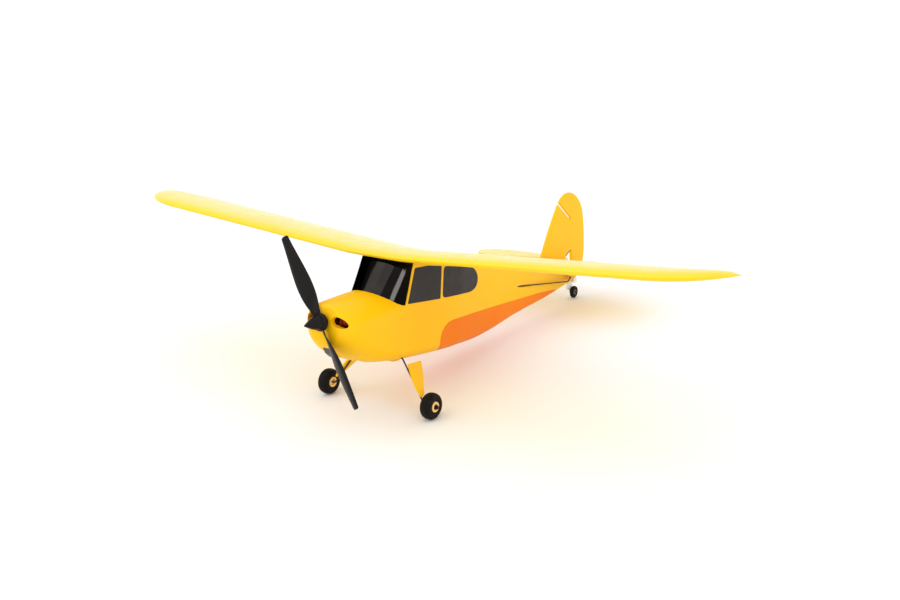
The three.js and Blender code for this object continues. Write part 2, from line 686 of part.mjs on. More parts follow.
function spinner() {
  const base = -HUB_HALF_LENGTH - GAP;
  const nose = turnedAlong([[-SPINNER_TIP, 0.35], [-14, 1], [-11.5, 2.2], [-8.5, 3.5], [-5.5, 4.5],
    [base, SPINNER_RADIUS]]);
  return onShaft(nose.subtract(bar([0, -6, 0], [0, 0, 0], 1.1, 16)));
}

function toothedWheel(radius, teeth, y0, y1, bore) {
  const outline = [];
  const depth = radius > 4 ? 0.5 : 0.35;
  for (let i = 0; i < teeth * 4; i += 1) {
    const angle = ((i + 0.5) / (teeth * 4)) * Math.PI * 2;
    const r = i % 4 < 2 ? radius : radius - depth;
    outline.push([r * Math.cos(angle), r * Math.sin(angle)]);
  }
  const wheel = loft([y0, y1].map((y) => outline.map(([x, z]) => [x, y, z])));
  return wheel.subtract(bar([0, y0 - 1, 0], [0, y1 + 1, 0], bore, 16));
}

function gearboxFrame() {
  const plate = box(-5.6, 5.6, GEARBOX_FRONT, GEARBOX_FACE, -16.4, 4)
    .add(bar([0, GEARBOX_FRONT, 0], [0, GEARBOX_FACE, 0], 5.6, 20));
  const shaftTube = bar([0, 12.5, 0], [0, 24, 0], 2.6, 16);
  const clamp = tube([0, 12.6, -MOTOR_DROP], [0, 22, -MOTOR_DROP], MOTOR_RADIUS + 1.5, MOTOR_RADIUS + GAP);
  const flange = box(-8, 8, 22.6, 24, -4.4, 6);
  const whole = union([plate, shaftTube, clamp, flange]);
  const shaftBore = bar([0, 5, 0], [0, 30, 0], 1.7, 16);
  const motorFace = bar([0, 5, -MOTOR_DROP], [0, 14, -MOTOR_DROP], 1.4, 16);
  return whole.subtract(shaftBore).subtract(motorFace);
}

function shaftBush(y0) {
  return tube([0, y0, 0], [0, y0 + 1.6, 0], 1.4, 1.05, 16);
}

function motorCan() {
  const start = GEARBOX_FACE + GAP;
  const can = bar([0, start, 0], [0, start + MOTOR_LENGTH, 0], MOTOR_RADIUS, 24);
  const bore = bar([0, start - 1, 0], [0, start + 4, 0], 0.8, 12);
  return can.subtract(bore).translate([0, 0, -MOTOR_DROP]);
}

function motorShaft() {
  return bar([0, 8.2, 0], [0, 16.6, 0], 0.5, 10).translate([0, 0, -MOTOR_DROP]);
}

function motorPinion() {
  return toothedWheel(PINION_RADIUS, PINION_TEETH, 8.6, 10.9, 0.8).translate([0, 0, -MOTOR_DROP]);
}

// Ribbed dummy engine cylinder behind each cooling hole, with a wider round plate at its inner end.
function dummyCylinder() {
  const [y, z] = [13.8, 0.4];
  const parts = [bar([9.2, y, z], [16.8, y, z], 2.3, 16), bar([9.2, y, z], [10, y, z], 3.9, 16)];
  for (const x of [10.8, 12.4, 14, 15.6]) {
    parts.push(bar([x, y, z], [x + 0.9, y, z], 2.8, 16));
  }
  return union(parts);
}

function chinBlock(grow) {
  const rings = [[7.2, -17.8, -20.2, 3.2], [9.6, -18.8, -23.4, 3.6], [12.8, -20.2, -25.9, 3.6],
    [16.6, -22.4, -27.9, 3]];
  return loft(rings.map(([y, top, bottom, half]) => {
    const wide = half + grow;
    const along = y + Math.sign(y - 11) * grow;
    return [[-wide, along, top + grow], [wide, along, top + grow], [wide * 0.8, along, bottom - grow],
      [-wide * 0.8, along, bottom - grow]];
  }));
}

// ---------------------------------------------------------------- equipment
function firewall() {
  const plate = box(-14, 14, 25, 26.5, -15, 7.3);
  const holes = onShaft(union([bar([0, 10, 0], [0, 40, 0], 3.4, 16),
    bar([0, 10, -MOTOR_DROP], [0, 40, -MOTOR_DROP], MOTOR_RADIUS + 1, 24)]));
  return plate.subtract(holes);
}

function batteryTray() {
  return box(-19, 19, 27.5, 66, BATTERY_TRAY_BOTTOM, BATTERY_TRAY_BOTTOM + 1);
}

function rodLine(horn, exit) {
  const direction = new THREE.Vector3(...horn).sub(new THREE.Vector3(...exit)).normalize();
  const back = (horn[1] - SERVO_Y) / direction.y;
  const start = new THREE.Vector3(...horn).addScaledVector(direction, -back);
  return [start, direction];
}

// Straight pushrod whose aft end is bent through the given points into the horn hole.
function pushrod(exit, bends) {
  const [start, direction] = rodLine(bends[0], exit);
  const front = start.addScaledVector(direction, -1);
  return bentWire([front.toArray(), ...bends], ROD_RADIUS);
}

function servoCase(horn, exit) {
  const [start] = rodLine(horn, exit);
  const side = Math.sign(start.x);
  const outer = Math.abs(start.x) - 2.6;
  const [low, high] = [start.z - 8.6, start.z + 3.2];
  const shell = box(outer - 9, outer, SERVO_Y - 12, SERVO_Y + 9, low, high);
  const slot = box(outer - 4, outer + 1, SERVO_Y - 8, SERVO_Y + 7.4, start.z - 1.9, start.z + 1.9);
  const casing = shell.subtract(slot);
  return side > 0 ? casing : mirrored(casing);
}

// Block driven by the servo, gripping the front end of its pushrod.
function servoSlider(horn, exit) {
  const [start, direction] = rodLine(horn, exit);
  const side = Math.sign(start.x);
  const reach = Math.abs(start.x);
  const plain = box(reach - 5.4, reach + 1.4, SERVO_Y - 2, SERVO_Y + 2, start.z - 1.3, start.z + 1.3);
  const block = side > 0 ? plain : mirrored(plain);
  const front = start.clone().addScaledVector(direction, -1 - GAP);
  const back = start.clone().addScaledVector(direction, 20);
  return block.subtract(bar(front.toArray(), back.toArray(), ROD_RADIUS + GAP, 12));
}

function radioTray() {
  return box(-18.2, 18.2, 84, 126, -2, -0.8);
}

function receiverBoard() {
  const board = box(-15, 15, 85.5, 98.5, -0.4, 0.6);
  const chips = [
    box(-12, -7, 88, 94, 0.5, 1.8),
    box(-3, 5, 87.5, 95.5, 0.5, 1.6),
    box(8, 13, 88, 96, 0.5, 4),
  ];
  return union([board, ...chips]);
}

// ---------------------------------------------------------------- assembly
const pieces = [];

function piece(name, solid, slot) {
  pieces.push({ name, solid, slot });
}

function pair(name, solid, slot) {
  piece(`${name}_left`, solid, slot);
  piece(`${name}_right`, mirrored(solid), slot);
}

function addAirframe() {
  const [left, right] = fuselageHalves();
  piece('fuselage_half_left', left, 'body_foam');
  piece('fuselage_half_right', right, 'body_foam');
  pair('front_window', panelPiece(FRONT_WINDOW), 'window_film');
  pair('rear_window', panelPiece(REAR_WINDOW), 'window_film');
  pair('belly_stripe', panelPiece(STRIPE), 'stripe');
  piece('windscreen', windscreen(), 'screen_plastic');
  piece('wing', wing(), 'wing_foam');
  pair('wing_spar', sparOutline(1, 0), 'carbon');
}

function addTail() {
  piece('fin', sideProfile(FIN, -SHEET / 2, SHEET / 2), 'body_foam');
  piece('rudder', sideProfile(RUDDER, -SHEET / 2, SHEET / 2), 'body_foam');
  piece('stabiliser', stabiliser(), 'wing_foam');
  piece('elevator', elevator(), 'wing_foam');
  piece('elevator_horn', elevatorHorn(), 'yellow_nylon');
  piece('tail_wheel_bracket', tailBracket(), 'white_nylon');
  piece('tail_axle', tailAxle(), 'wire_steel');
  piece('tail_tyre', tyre(TAIL_WHEEL, TAIL_WHEEL_RADIUS, TAIL_WHEEL_WIDTH, 2.5), 'tyre_foam');
  piece('tail_hub', wheelHub(TAIL_WHEEL, 2.2, TAIL_WHEEL_WIDTH, 0.8, TAIL_DISH), 'grey_nylon');
}

function addUndercarriage() {
  piece('gear_wire', gearWire(), 'wire_steel');
  piece('gear_plate', gearPlate(), 'yellow_nylon');
  pair('gear_fairing', gearFairing(), 'body_foam');
  const mainTyre = tyre(MAIN_WHEEL, MAIN_WHEEL_RADIUS, MAIN_WHEEL_WIDTH, MAIN_HUB_RADIUS + GAP);
  pair('main_tyre', mainTyre, 'tyre_foam');
  const mainHub = wheelHub(MAIN_WHEEL, MAIN_HUB_RADIUS, MAIN_WHEEL_WIDTH + 0.3, WIRE + GAP, MAIN_DISH);
  pair('main_hub', mainHub, 'hub_plastic');
  pair('wheel_collar', wheelCollar(), 'black_nylon');
}

function addPowerTrain() {
  piece('propeller', propeller(), 'black_nylon');
  piece('spinner', spinner(), 'black_nylon');
  piece('prop_shaft', onShaft(bar([0, -5.4, 0], [0, 26.4, 0], PROP_SHAFT_RADIUS, 16)), 'motor_steel');
  piece('spur_gear', onShaft(toothedWheel(SPUR_RADIUS, SPUR_TEETH, 8.8, 10.7, 1.05)), 'grey_nylon');
  piece('gearbox_frame', onShaft(gearboxFrame()), 'grey_nylon');
  piece('front_shaft_bush', onShaft(shaftBush(GEARBOX_FRONT)), 'brass');
  piece('rear_shaft_bush', onShaft(shaftBush(22.2)), 'brass');
  piece('motor', onShaft(motorCan()), 'motor_steel');
  piece('motor_shaft', onShaft(motorShaft()), 'motor_steel');
  piece('motor_pinion', onShaft(motorPinion()), 'brass');
  pair('dummy_cylinder', dummyCylinder(), 'engine_red');
  piece('chin_scoop', chinBlock(0), 'grey_nylon');
}

function addEquipment() {
  piece('firewall', firewall(), 'plywood');
  piece('battery_tray', batteryTray(), 'plywood');
  const [bx, by, bz] = BATTERY_CENTRE;
  const [w, l, h] = BATTERY.map((side) => side / 2);
  piece('battery', box(bx - w, bx + w, by - l, by + l, bz - h, bz + h), 'battery_wrap');
  const tape = box(-6, 6, by - 10, by + 10, bz + h + GAP, BATTERY_TRAY_BOTTOM - GAP);
  piece('battery_tape', tape, 'hook_tape');
  piece('radio_tray', radioTray(), 'plywood');
  piece('receiver_board', receiverBoard(), 'circuit_board');
  piece('rudder_servo', servoCase(RUDDER_HORN, RUDDER_ROD_EXIT), 'black_nylon');
  piece('elevator_servo', servoCase(ELEVATOR_ROD_KNEE, ELEVATOR_ROD_EXIT), 'black_nylon');
  piece('rudder_slider', servoSlider(RUDDER_HORN, RUDDER_ROD_EXIT), 'white_nylon');
  piece('elevator_slider', servoSlider(ELEVATOR_ROD_KNEE, ELEVATOR_ROD_EXIT), 'white_nylon');
  const [rx, ry, rz] = RUDDER_HORN;
  piece('rudder_pushrod', pushrod(RUDDER_ROD_EXIT, [RUDDER_HORN, [rx, ry, rz - 3.6]]), 'wire_steel');
  const [ex, ey, ez] = ELEVATOR_HORN;
  const hook = [ELEVATOR_ROD_KNEE, ELEVATOR_HORN, [ex - 3, ey, ez]];
  piece('elevator_pushrod', pushrod(ELEVATOR_ROD_EXIT, hook), 'wire_steel');
}

function assemble() {
  addAirframe();
  addTail();
  addUndercarriage();
  addPowerTrain();
  addEquipment();
  const plane = new THREE.Group();
  plane.name = 'foam_aeroplane';
  const pitch = new THREE.Matrix4().makeRotationX((-GROUND_PITCH * Math.PI) / 180);
  for (const { name, solid, slot } of pieces) {
    const [color, roughness, metalness] = FINISH[slot];
    const material = new THREE.MeshStandardMaterial({ name: slot, color, roughness, metalness });
    const geometry = geometryOf(solid);
    geometry.applyMatrix4(pitch);
    const mesh = new THREE.Mesh(geometry, material);
    mesh.name = name;
    plane.add(mesh);
  }
  standOnOrigin(plane);
  return plane;
}

// Puts the origin under the middle of the bounding box, on the ground.
function standOnOrigin(plane) {
  const bounds = new THREE.Box3().setFromObject(plane, true);
  const middle = bounds.getCenter(new THREE.Vector3());
  for (const mesh of plane.children) {
    mesh.geometry.translate(-middle.x, -middle.y, -bounds.min.z);
  }
}

export default assemble();
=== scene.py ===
import json
import math

import bmesh
import bpy
import numpy as np
from mathutils import Matrix, Vector


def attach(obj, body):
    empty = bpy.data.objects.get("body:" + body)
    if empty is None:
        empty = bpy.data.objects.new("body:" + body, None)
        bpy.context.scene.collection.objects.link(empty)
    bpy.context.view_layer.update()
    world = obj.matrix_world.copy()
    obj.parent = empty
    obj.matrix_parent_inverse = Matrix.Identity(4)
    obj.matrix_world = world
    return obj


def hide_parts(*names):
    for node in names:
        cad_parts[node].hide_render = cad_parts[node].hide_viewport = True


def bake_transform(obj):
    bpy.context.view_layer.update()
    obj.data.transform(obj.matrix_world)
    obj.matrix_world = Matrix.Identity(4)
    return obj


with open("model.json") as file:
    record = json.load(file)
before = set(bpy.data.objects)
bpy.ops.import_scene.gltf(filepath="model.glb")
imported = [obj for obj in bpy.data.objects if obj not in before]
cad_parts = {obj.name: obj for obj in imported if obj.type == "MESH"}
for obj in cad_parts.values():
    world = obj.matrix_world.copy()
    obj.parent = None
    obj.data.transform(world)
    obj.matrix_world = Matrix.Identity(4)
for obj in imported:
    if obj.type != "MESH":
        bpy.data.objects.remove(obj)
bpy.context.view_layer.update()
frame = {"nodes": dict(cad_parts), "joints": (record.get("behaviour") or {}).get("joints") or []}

# ---------------------------------------------------------------- dimensions (mm, degrees)
# Body axes: X to the left wing tip, Y towards the tail, Z up, origin at the propeller hub.
GROUND_PITCH = 10.76
SHAFT_DOWN = 3.3
SHAFT_RIGHT = 1.9
FIT = 0.06

PROP_RADIUS = 65
PROP_PITCH = 70
PROP_LEAN = 31.7
SPINNER_TIP = 15.3
HUB_HALF_LENGTH = 2.4
HUB_RADIUS = 6.3
SPINNER_RADIUS = 5.2
SHAFT_BORE = 1.1
MOTOR_DROP = 10.3

WING_LE = 51.4
WING_CHORD = 80.7
WING_ROOT_Z = 38.4
WING_HALF_SPAN = 257.5
WING_TIP_START = 206
WING_TIP_SWEEP = 46
WING_TIP_LIFT = 3.4
WING_FLAT_CENTRE = 22
WING_END = 257.15
DIHEDRAL = math.tan(math.radians(4.05))
INCIDENCE = math.tan(math.radians(2.3))

FOAM_WALL = 3
HOLLOW = (9.5, 278)
DECK_END = 65
CABIN_START = 72.4
CABIN_END = 131
TAIL_END = 315.6
STERN_END = 329.6
SEAT_FRONT = 46
SEAT_BACK = 132.2
FILM = 0.5
SHEET = 2.5
SHEET_ROUNDING = 0.9
STAB_Z = 13.2
STAB_END = 86
HINGE_Y = 317
HINGE_GAP = 0.95
RUDDER_AXIS = ((327.3, 15.9), (321, 53.1))

MAIN_WHEEL = (48.6, 67.2, -61.7)
MAIN_TYRE = (9.75, 8.6)
MAIN_HUB = (3.9, 8.9)
MAIN_DISH = (2.1, 2)
TAIL_WHEEL = (0, 337.4, -14.8)
TAIL_TYRE = (5.4, 3.0)
TAIL_HUB = (2.2, 3.0)
TAIL_DISH = (1.3, 0.7)
WIRE = 0.6
GEAR_CROSS_Z = -31.6
LEG_SPLAY = 0.725
LEG_INSET = 6.225
FAIRING_THICKNESS = 1.6

RUDDER_ROD = ((-8.6, 330.6, -3.2), (-10.6, 228, 3.2))
ELEVATOR_ROD = ((8, 312.4, -1.8), (10.4, 228, 2.8))
ELEVATOR_HORN = (8, 317, 1.4)
SERVO_Y = 112
ROD_RADIUS = 0.5
ROD_BEND = 0.9
CAD_EDGE = 0.12

# Fuselage stations: y, half width, top, bottom, top corner (wide, high), bottom corner (wide, high)
STATIONS = np.array([
    (4, 11.8, 10, -15.8, 8.5, 8.5, 9.5, 11), (6, 16.4, 11.6, -18.2, 13, 11, 13.5, 15),
    (9.5, 20.2, 12.4, -21, 18, 14, 17, 17), (15, 22.8, 13.3, -24.6, 21.5, 16, 19, 18),
    (25, 24, 14.7, -29, 23.5, 17, 19, 16.5), (38, 24, 16.5, -32.4, 23.7, 17, 17, 13.5),
    (52, 23.7, 17.7, -33.3, 23.6, 15, 13.5, 9.5), (DECK_END, 23.5, 18, -34.1, 23.4, 11.5, 12, 8.5),
    (CABIN_START, 23.4, 41.2, -34.4, 2, 2, 12, 8.5), (95, 23.2, 40.2, -34.5, 2, 2, 12, 8.5),
    (CABIN_END, 21.7, 38.8, -34, 2, 2, 11, 8), (133, 21.5, 35.8, -33.9, 4, 3, 11, 8),
    (160, 18.4, 33.4, -32.7, 5, 4, 9, 7), (182, 15.9, 31.2, -30.3, 5, 4, 8, 6),
    (233, 10.8, 26, -20.9, 4, 4, 6, 5), (278, 6.6, 21.4, -14.1, 3, 3, 4, 4),
    (TAIL_END, 3.6, 17.4, -6.4, 1.5, 1.5, 1.8, 2), (STERN_END, 2.4, 15.8, -3.7, 1, 1, 1.2, 1.5)])
STERN_CUT = [(TAIL_END, 11), (327.3, 7.8), (329.4, -8), (345, -8), (345, 60), (TAIL_END, 60)]
# Chin scoop: y, top, bottom, half width
CHIN = ((7.2, -17.8, -20.2, 3.2), (9.6, -18.8, -23.4, 3.6), (12.8, -20.2, -25.9, 3.6),
        (16.6, -22.4, -27.9, 3))

# Outlines of windows, stripe and cooling hole: points, then the radius of the corners
FRONT_WINDOW = ([(66.7, 8.5), (106.5, 8.1), (105.9, 32.6), (88.5, 34.5), (72.9, 34.1)], 1.3)
REAR_WINDOW = ([(109.1, 8.2), (150.5, 8.2), (157.6, 10.8), (160.2, 16), (158.4, 21.6),
                (152, 26.7), (130, 29.8), (108.5, 32.3)], 4)
STRIPE = ([(109, -40), (109, -24), (110.5, -18.5), (113.5, -14.5), (118.5, -11.4), (126, -10.2),
           (160, -9.2), (236, -7.7), (270, -7.2), (299, -7.6), (299, -40)], 3)
NOSTRIL = ([(5.8, 0.6), (8.2, 4.4), (12.4, 5), (17.4, 2.6), (19.4, -0.6), (18, -2.8), (12.6, -3),
            (8.4, -1.8)], 2.4)
# Outlines of fin and rudder: points, then the numbers of the points that stay sharp
FIN = ([(276.5, 17.5), (288, 44), (299.3, 65.3), (319.6, 52.2), (324.8, 23.4), (323, 22.9),
        (320.6, 21.4), (318.6, 19.4), (317.6, 17.4)], (0, 2, 3, 4, 8))
RUDDER = ([(328.3, 9.7), (321, 53.1), (300.3, 66.9), (305.6, 71.9), (311, 74.5), (318.5, 75.2),
           (327.2, 72.4), (334.6, 67), (338.9, 61.8), (341.4, 56.4), (344.1, 47), (345.8, 39),
           (346.8, 33), (347.2, 11.7), (344.6, 5), (340, 0.8), (334.8, -2.6), (330.6, -4.2)],
          (0, 1, 2, 17))
STABILISER_HALF = [(20, 284), (45, 288), (66, 292.5), (77, 297), (83.6, 304), (STAB_END, 313)]
ELEVATOR_HALF = [(85.2, 322), (80.8, 330), (70.5, 336), (52, 340.2), (30, 342.2), (11.6, 342.8)]
FAIRING = [(67.7, -35.4), (64.8, -44), (64.3, -53), (65.6, -56.9), (70.2, -55.2), (73, -51),
           (78.9, -42.7), (82.8, -35.2)]
NOTCH_FRONT = (2.8, 326)

AEROFOIL = [(1, 0), (0.6, 0), (0.25, 0), (0.06, 0.004), (0.012, 0.018), (0, 0.034),
            (0.012, 0.055), (0.05, 0.073), (0.13, 0.088), (0.3, 0.096), (0.5, 0.084),
            (0.7, 0.058), (0.87, 0.029), (1, 0.01)]
BLADE = np.array([(3, 6), (8, 6.4), (14, 9), (21, 11.4), (29, 12.4), (38, 11.6), (48, 9.6),
                  (58, 7.4), (PROP_RADIUS - 1.2, 6.3), (PROP_RADIUS, 5.8)])
BLADE_SECTION = [(0.5, 0), (0.36, 0.4), (0.22, 0.6), (0, 0.58), (-0.22, 0.42), (-0.5, 0),
                 (-0.22, -0.2), (0.22, -0.22)]
SCREEN_LOW = [(0, 43.4), (4.5, 43.9), (8.6, 45.2), (13, 47.5), (17.5, 51.2), (21, 55.8), (22.7, 60.4),
              (23.3, 64)]
SCREEN_HIGH = [(0, 57), (4.3, 57.3), (8.4, 58.3), (12.6, 60.2), (16.8, 63.2), (20.2, 66.6), (22, 69.1),
               (22.9, 71.6)]
SCREEN_MIDDLE = Vector((8, 58, 28))

joints = {joint["name"]: joint for joint in frame["joints"]}
HUB = Vector(joints["propeller_spin"]["pos_m"])
TO_FRAME = Matrix.Translation(HUB) @ Matrix.Rotation(math.radians(-GROUND_PITCH), 4, "X") \
    @ Matrix.Scale(0.001, 4)
ON_SHAFT = Matrix.Rotation(math.radians(-SHAFT_RIGHT), 4, "Z") \
    @ Matrix.Rotation(math.radians(SHAFT_DOWN), 4, "X")
MIRROR = Matrix.Scale(-1, 4, Vector((1, 0, 0)))


# ---------------------------------------------------------------- curves
def hermite(knots, values, slopes, at):
    """Cubic curve through values at knots, with the given slopes."""
    at = np.clip(np.asarray(at, float), knots[0], knots[-1])
    i = np.clip(np.searchsorted(knots, at, side="right") - 1, 0, len(knots) - 2)
    h = (knots[i + 1] - knots[i])[:, None]
    u = ((at - knots[i]) / h[:, 0])[:, None]
    return (values[i] * (1 + 2 * u) * (1 - u) ** 2 + h * slopes[i] * u * (1 - u) ** 2
            + values[i + 1] * u * u * (3 - 2 * u) + h * slopes[i + 1] * u * u * (u - 1))


def steady(knots, values, at):
    """Smooth curve through the points that never swings past them."""
    knots = np.asarray(knots, float)
    values = np.asarray(values, float).reshape(len(knots), -1)
    rise = np.diff(values, axis=0) / np.diff(knots)[:, None]
    slopes = np.zeros_like(values)
    slopes[0], slopes[-1] = rise[0], rise[-1]
    same = rise[:-1] * rise[1:] > 0
    bottom = np.where(same, rise[:-1] + rise[1:], 1)
    slopes[1:-1] = np.where(same, 2 * rise[:-1] * rise[1:] / bottom, 0)
    return hermite(knots, values, slopes, at)


def flowing(points, steps=6):
    """Points sampled on a smooth open curve through the given ones."""
    points = np.asarray(points, float)
    if len(points) < 3:
        return points
    along = np.concatenate([[0], np.cumsum(np.linalg.norm(np.diff(points, axis=0), axis=1))])
    slopes = np.gradient(points, along, axis=0)
    at = np.concatenate([np.linspace(a, b, steps, endpoint=False)
                         for a, b in zip(along[:-1], along[1:])] + [[along[-1]]])
    return hermite(along, points, slopes, at)


def with_corners(points, corners, steps=6):
    """Closed outline that flows through the points and breaks at the numbered corners."""
    order = list(corners)
    runs = []
    for start, end in zip(order, order[1:] + [order[0] + len(points)]):
        run = [points[i % len(points)] for i in range(start, end + 1)]
        runs.append(flowing(run, steps)[:-1])
    return np.concatenate(runs)


def softened(points, radius, steps=6):
    """Closed outline whose corners are rounded off within radius of each point."""
    points = np.asarray(points, float)
    out = []
    for before, corner, after in zip(np.roll(points, 1, 0), points, np.roll(points, -1, 0)):
        ends = []
        for other in (before, after):
            edge = other - corner
            length = np.linalg.norm(edge)
            ends.append(corner + edge / length * min(radius, 0.49 * length))
        for u in np.linspace(0, 1, steps):
            out.append((1 - u) ** 2 * ends[0] + 2 * u * (1 - u) * corner + u * u * ends[1])
    return np.array(out)


def offset(outline, distance):
    """Closed flat outline moved inwards by distance, or outwards if it is negative."""
    area = np.sum(outline[:, 0] * np.roll(outline[:, 1], -1) - outline[:, 1] * np.roll(outline[:, 0], -1))
    edge = np.roll(outline, -1, 0) - outline
    edge /= np.maximum(np.linalg.norm(edge, axis=1), 1e-9)[:, None]
    inward = np.stack([-edge[:, 1], edge[:, 0]], 1) * np.sign(area)
    blend = inward + np.roll(inward, 1, 0)
    blend /= np.maximum(np.sum(blend * np.roll(inward, 1, 0), axis=1), 0.35)[:, None]
    return outline + blend * distance


def bent_path(points, bend, steps=6):
    """Straight runs joined by round bends."""
    points = [Vector(p) for p in points]
    out = [points[0]]
    for before, corner, after in zip(points, points[1:], points[2:]):
        start = corner + (before - corner).normalized() * bend
        end = corner + (after - corner).normalized() * bend
        for u in np.linspace(0, 1, steps):
            out.append(start * (1 - u) ** 2 + corner * 2 * u * (1 - u) + end * u * u)
    return out + [points[-1]]


# ---------------------------------------------------------------- solids, in body millimetres
def solid(rings, caps=True):
    """Object skinned over closed rings of equal point count, faces outwards."""
    count = len(rings[0])
    mesh = bpy.data.meshes.new("solid")
    vertices = [tuple(map(float, p)) for ring in rings for p in ring]
    faces = []
    for i in range(len(rings) - 1):
        for j in range(count):
            a, b = i * count + j, i * count + (j + 1) % count
            faces.append((a, b, b + count, a + count))
    if caps:
        faces.append(tuple(range(count)))
        faces.append(tuple(range((len(rings) - 1) * count, len(rings) * count)))
    mesh.from_pydata(vertices, [], faces)
    face_out(mesh)
    return linked(mesh)


def linked(mesh):
    piece = bpy.data.objects.new("solid", mesh)
    bpy.context.scene.collection.objects.link(piece)
    return piece


def face_out(mesh):
    work = bmesh.new()
    work.from_mesh(mesh)
    bmesh.ops.recalc_face_normals(work, faces=work.faces)
    if work.calc_volume(signed=True) < 0:
        bmesh.ops.reverse_faces(work, faces=work.faces)
    work.to_mesh(mesh)
    work.free()


def block(x0, x1, y0, y1, z0, z1):
    ring = [(x0, z0), (x1, z0), (x1, z1), (x0, z1)]
    return solid([[(x, y, z) for x, z in ring] for y in (y0, y1)])


def prism(outline, x0, x1):
    """Flat outline of (y, z) points given thickness along X."""
    return solid([[(x, y, z) for y, z in outline] for x in (x0, x1)])


def turned(profile, sides=72, axis="X", centre=(0, 0, 0)):
    """Solid of revolution; profile holds (along, radius), from end to end."""
    rings = []
    for along, radius in profile:
        ring = []
        for i in range(sides):
            a = 2 * math.pi * i / sides
            c, s = radius * math.cos(a), radius * math.sin(a)
            p = (along, c, s) if axis == "X" else (s, along, c)
            ring.append(tuple(np.add(p, centre)))
        rings.append(ring)
    return solid(rings)


def ring_shape(profile, sides=72, centre=(0, 0, 0)):
    """Closed profile of (x, radius) points turned about X into a ring."""
    rings = []
    for i in range(sides + 1):
        a = 2 * math.pi * (i % sides) / sides
        rings.append([(x + centre[0], r * math.cos(a) + centre[1], r * math.sin(a) + centre[2])
                      for x, r in profile])
    piece = solid(rings, caps=False)
    work = bmesh.new()
    work.from_mesh(piece.data)
    bmesh.ops.remove_doubles(work, verts=work.verts, dist=1e-5)
    work.to_mesh(piece.data)
    work.free()
    face_out(piece.data)
    return piece


def swept(path, radius, sides=16):
    """Round bar along a path, with a small chamfer at each end."""
    path = [Vector(p) for p in path]
    heads = [(path[i + 1] - path[i]).normalized() for i in range(len(path) - 1)]
    tangents = [heads[0]] + [(a + b).normalized() for a, b in zip(heads, heads[1:])] + [heads[-1]]
    side = tangents[0].orthogonal().normalized()
    rings = []
    chamfer = 0.3 * radius
    spots = [(path[0], tangents[0], radius - chamfer)]
    spots.append((path[0] + tangents[0] * chamfer, tangents[0], radius))
    spots += [(p, t, radius) for p, t in zip(path[1:-1], tangents[1:-1])]
    spots.append((path[-1] - tangents[-1] * chamfer, tangents[-1], radius))
    spots.append((path[-1], tangents[-1], radius - chamfer))
    for spot, tangent, reach in spots:
        side = (side - tangent * side.dot(tangent)).normalized()
        other = tangent.cross(side)
        rings.append([spot + (side * math.cos(a) + other * math.sin(a)) * reach
                      for a in np.linspace(0, 2 * math.pi, sides, endpoint=False)])
    return solid(rings)


def rounded_sheet(outline, place, thickness, rounding, steps=4):
    """Flat outline with round edges; place(u, v, w) puts a flat point at height w into the body."""
    half = thickness / 2
    layers = []
    for i in range(steps + 1):
        angle = math.pi / 2 * (1 - i / steps)
        layers.append((rounding * (1 - math.cos(angle)), half - rounding * (1 - math.sin(angle))))
    layers = [(inset, -height) for inset, height in layers] + layers[::-1]
    rings = []
    for inset, height in layers:
        rings.append([place(u, v, height) for u, v in offset(outline, inset)])
    return solid(rings)


def carve(piece, cutters, operation="DIFFERENCE"):
    """Applies the cutters to the piece and removes them."""
    for cutter in cutters:
        modifier = piece.modifiers.new("carve", "BOOLEAN")
        modifier.operation = operation
        modifier.solver = "MANIFOLD"
        modifier.object = cutter
    bpy.context.view_layer.update()
    mesh = bpy.data.meshes.new_from_object(piece.evaluated_get(bpy.context.evaluated_depsgraph_get()))
    piece.modifiers.clear()
    piece.data = mesh
    for cutter in cutters:
        bpy.data.objects.remove(cutter)
    return piece


def copy_of(piece, matrix=None):
    copy = piece.copy()
    copy.data = piece.data.copy()
    bpy.context.scene.collection.objects.link(copy)
    if matrix is not None:
        copy.data.transform(matrix)
        if matrix.determinant() < 0:
            copy.data.flip_normals()
    return copy


def on_shaft(piece):
    piece.data.transform(ON_SHAFT)
    return piece


# ---------------------------------------------------------------- finishing a piece
def finished(piece, name, body, material, nodes=(), crease=35):
    """Puts a body-frame solid into the shared frame as a named piece that rides on its body."""
    piece.name = name
    piece.data.name = name
    piece.data.transform(TO_FRAME)
    piece.data.polygons.foreach_set("use_smooth", [True] * len(piece.data.polygons))
    piece.data.set_sharp_from_angle(angle=math.radians(crease))
    weigh = piece.modifiers.new("even shading", "WEIGHTED_NORMAL")
    weigh.keep_sharp = True
    piece.data.materials.clear()
    piece.data.materials.append(material)
    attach(piece, body)
    if nodes:
        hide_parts(*nodes)
    return piece


def dressed(node, material):
    """A carried-over CAD node: better material, and softened edges."""
    piece = frame["nodes"][node]
    piece.data.materials.clear()
    piece.data.materials.append(material)
    soften = piece.modifiers.new("soft edges", "BEVEL")
    soften.width = CAD_EDGE / 1000
    soften.segments = 2
    soften.limit_method = "ANGLE"
    soften.angle_limit = math.radians(40)


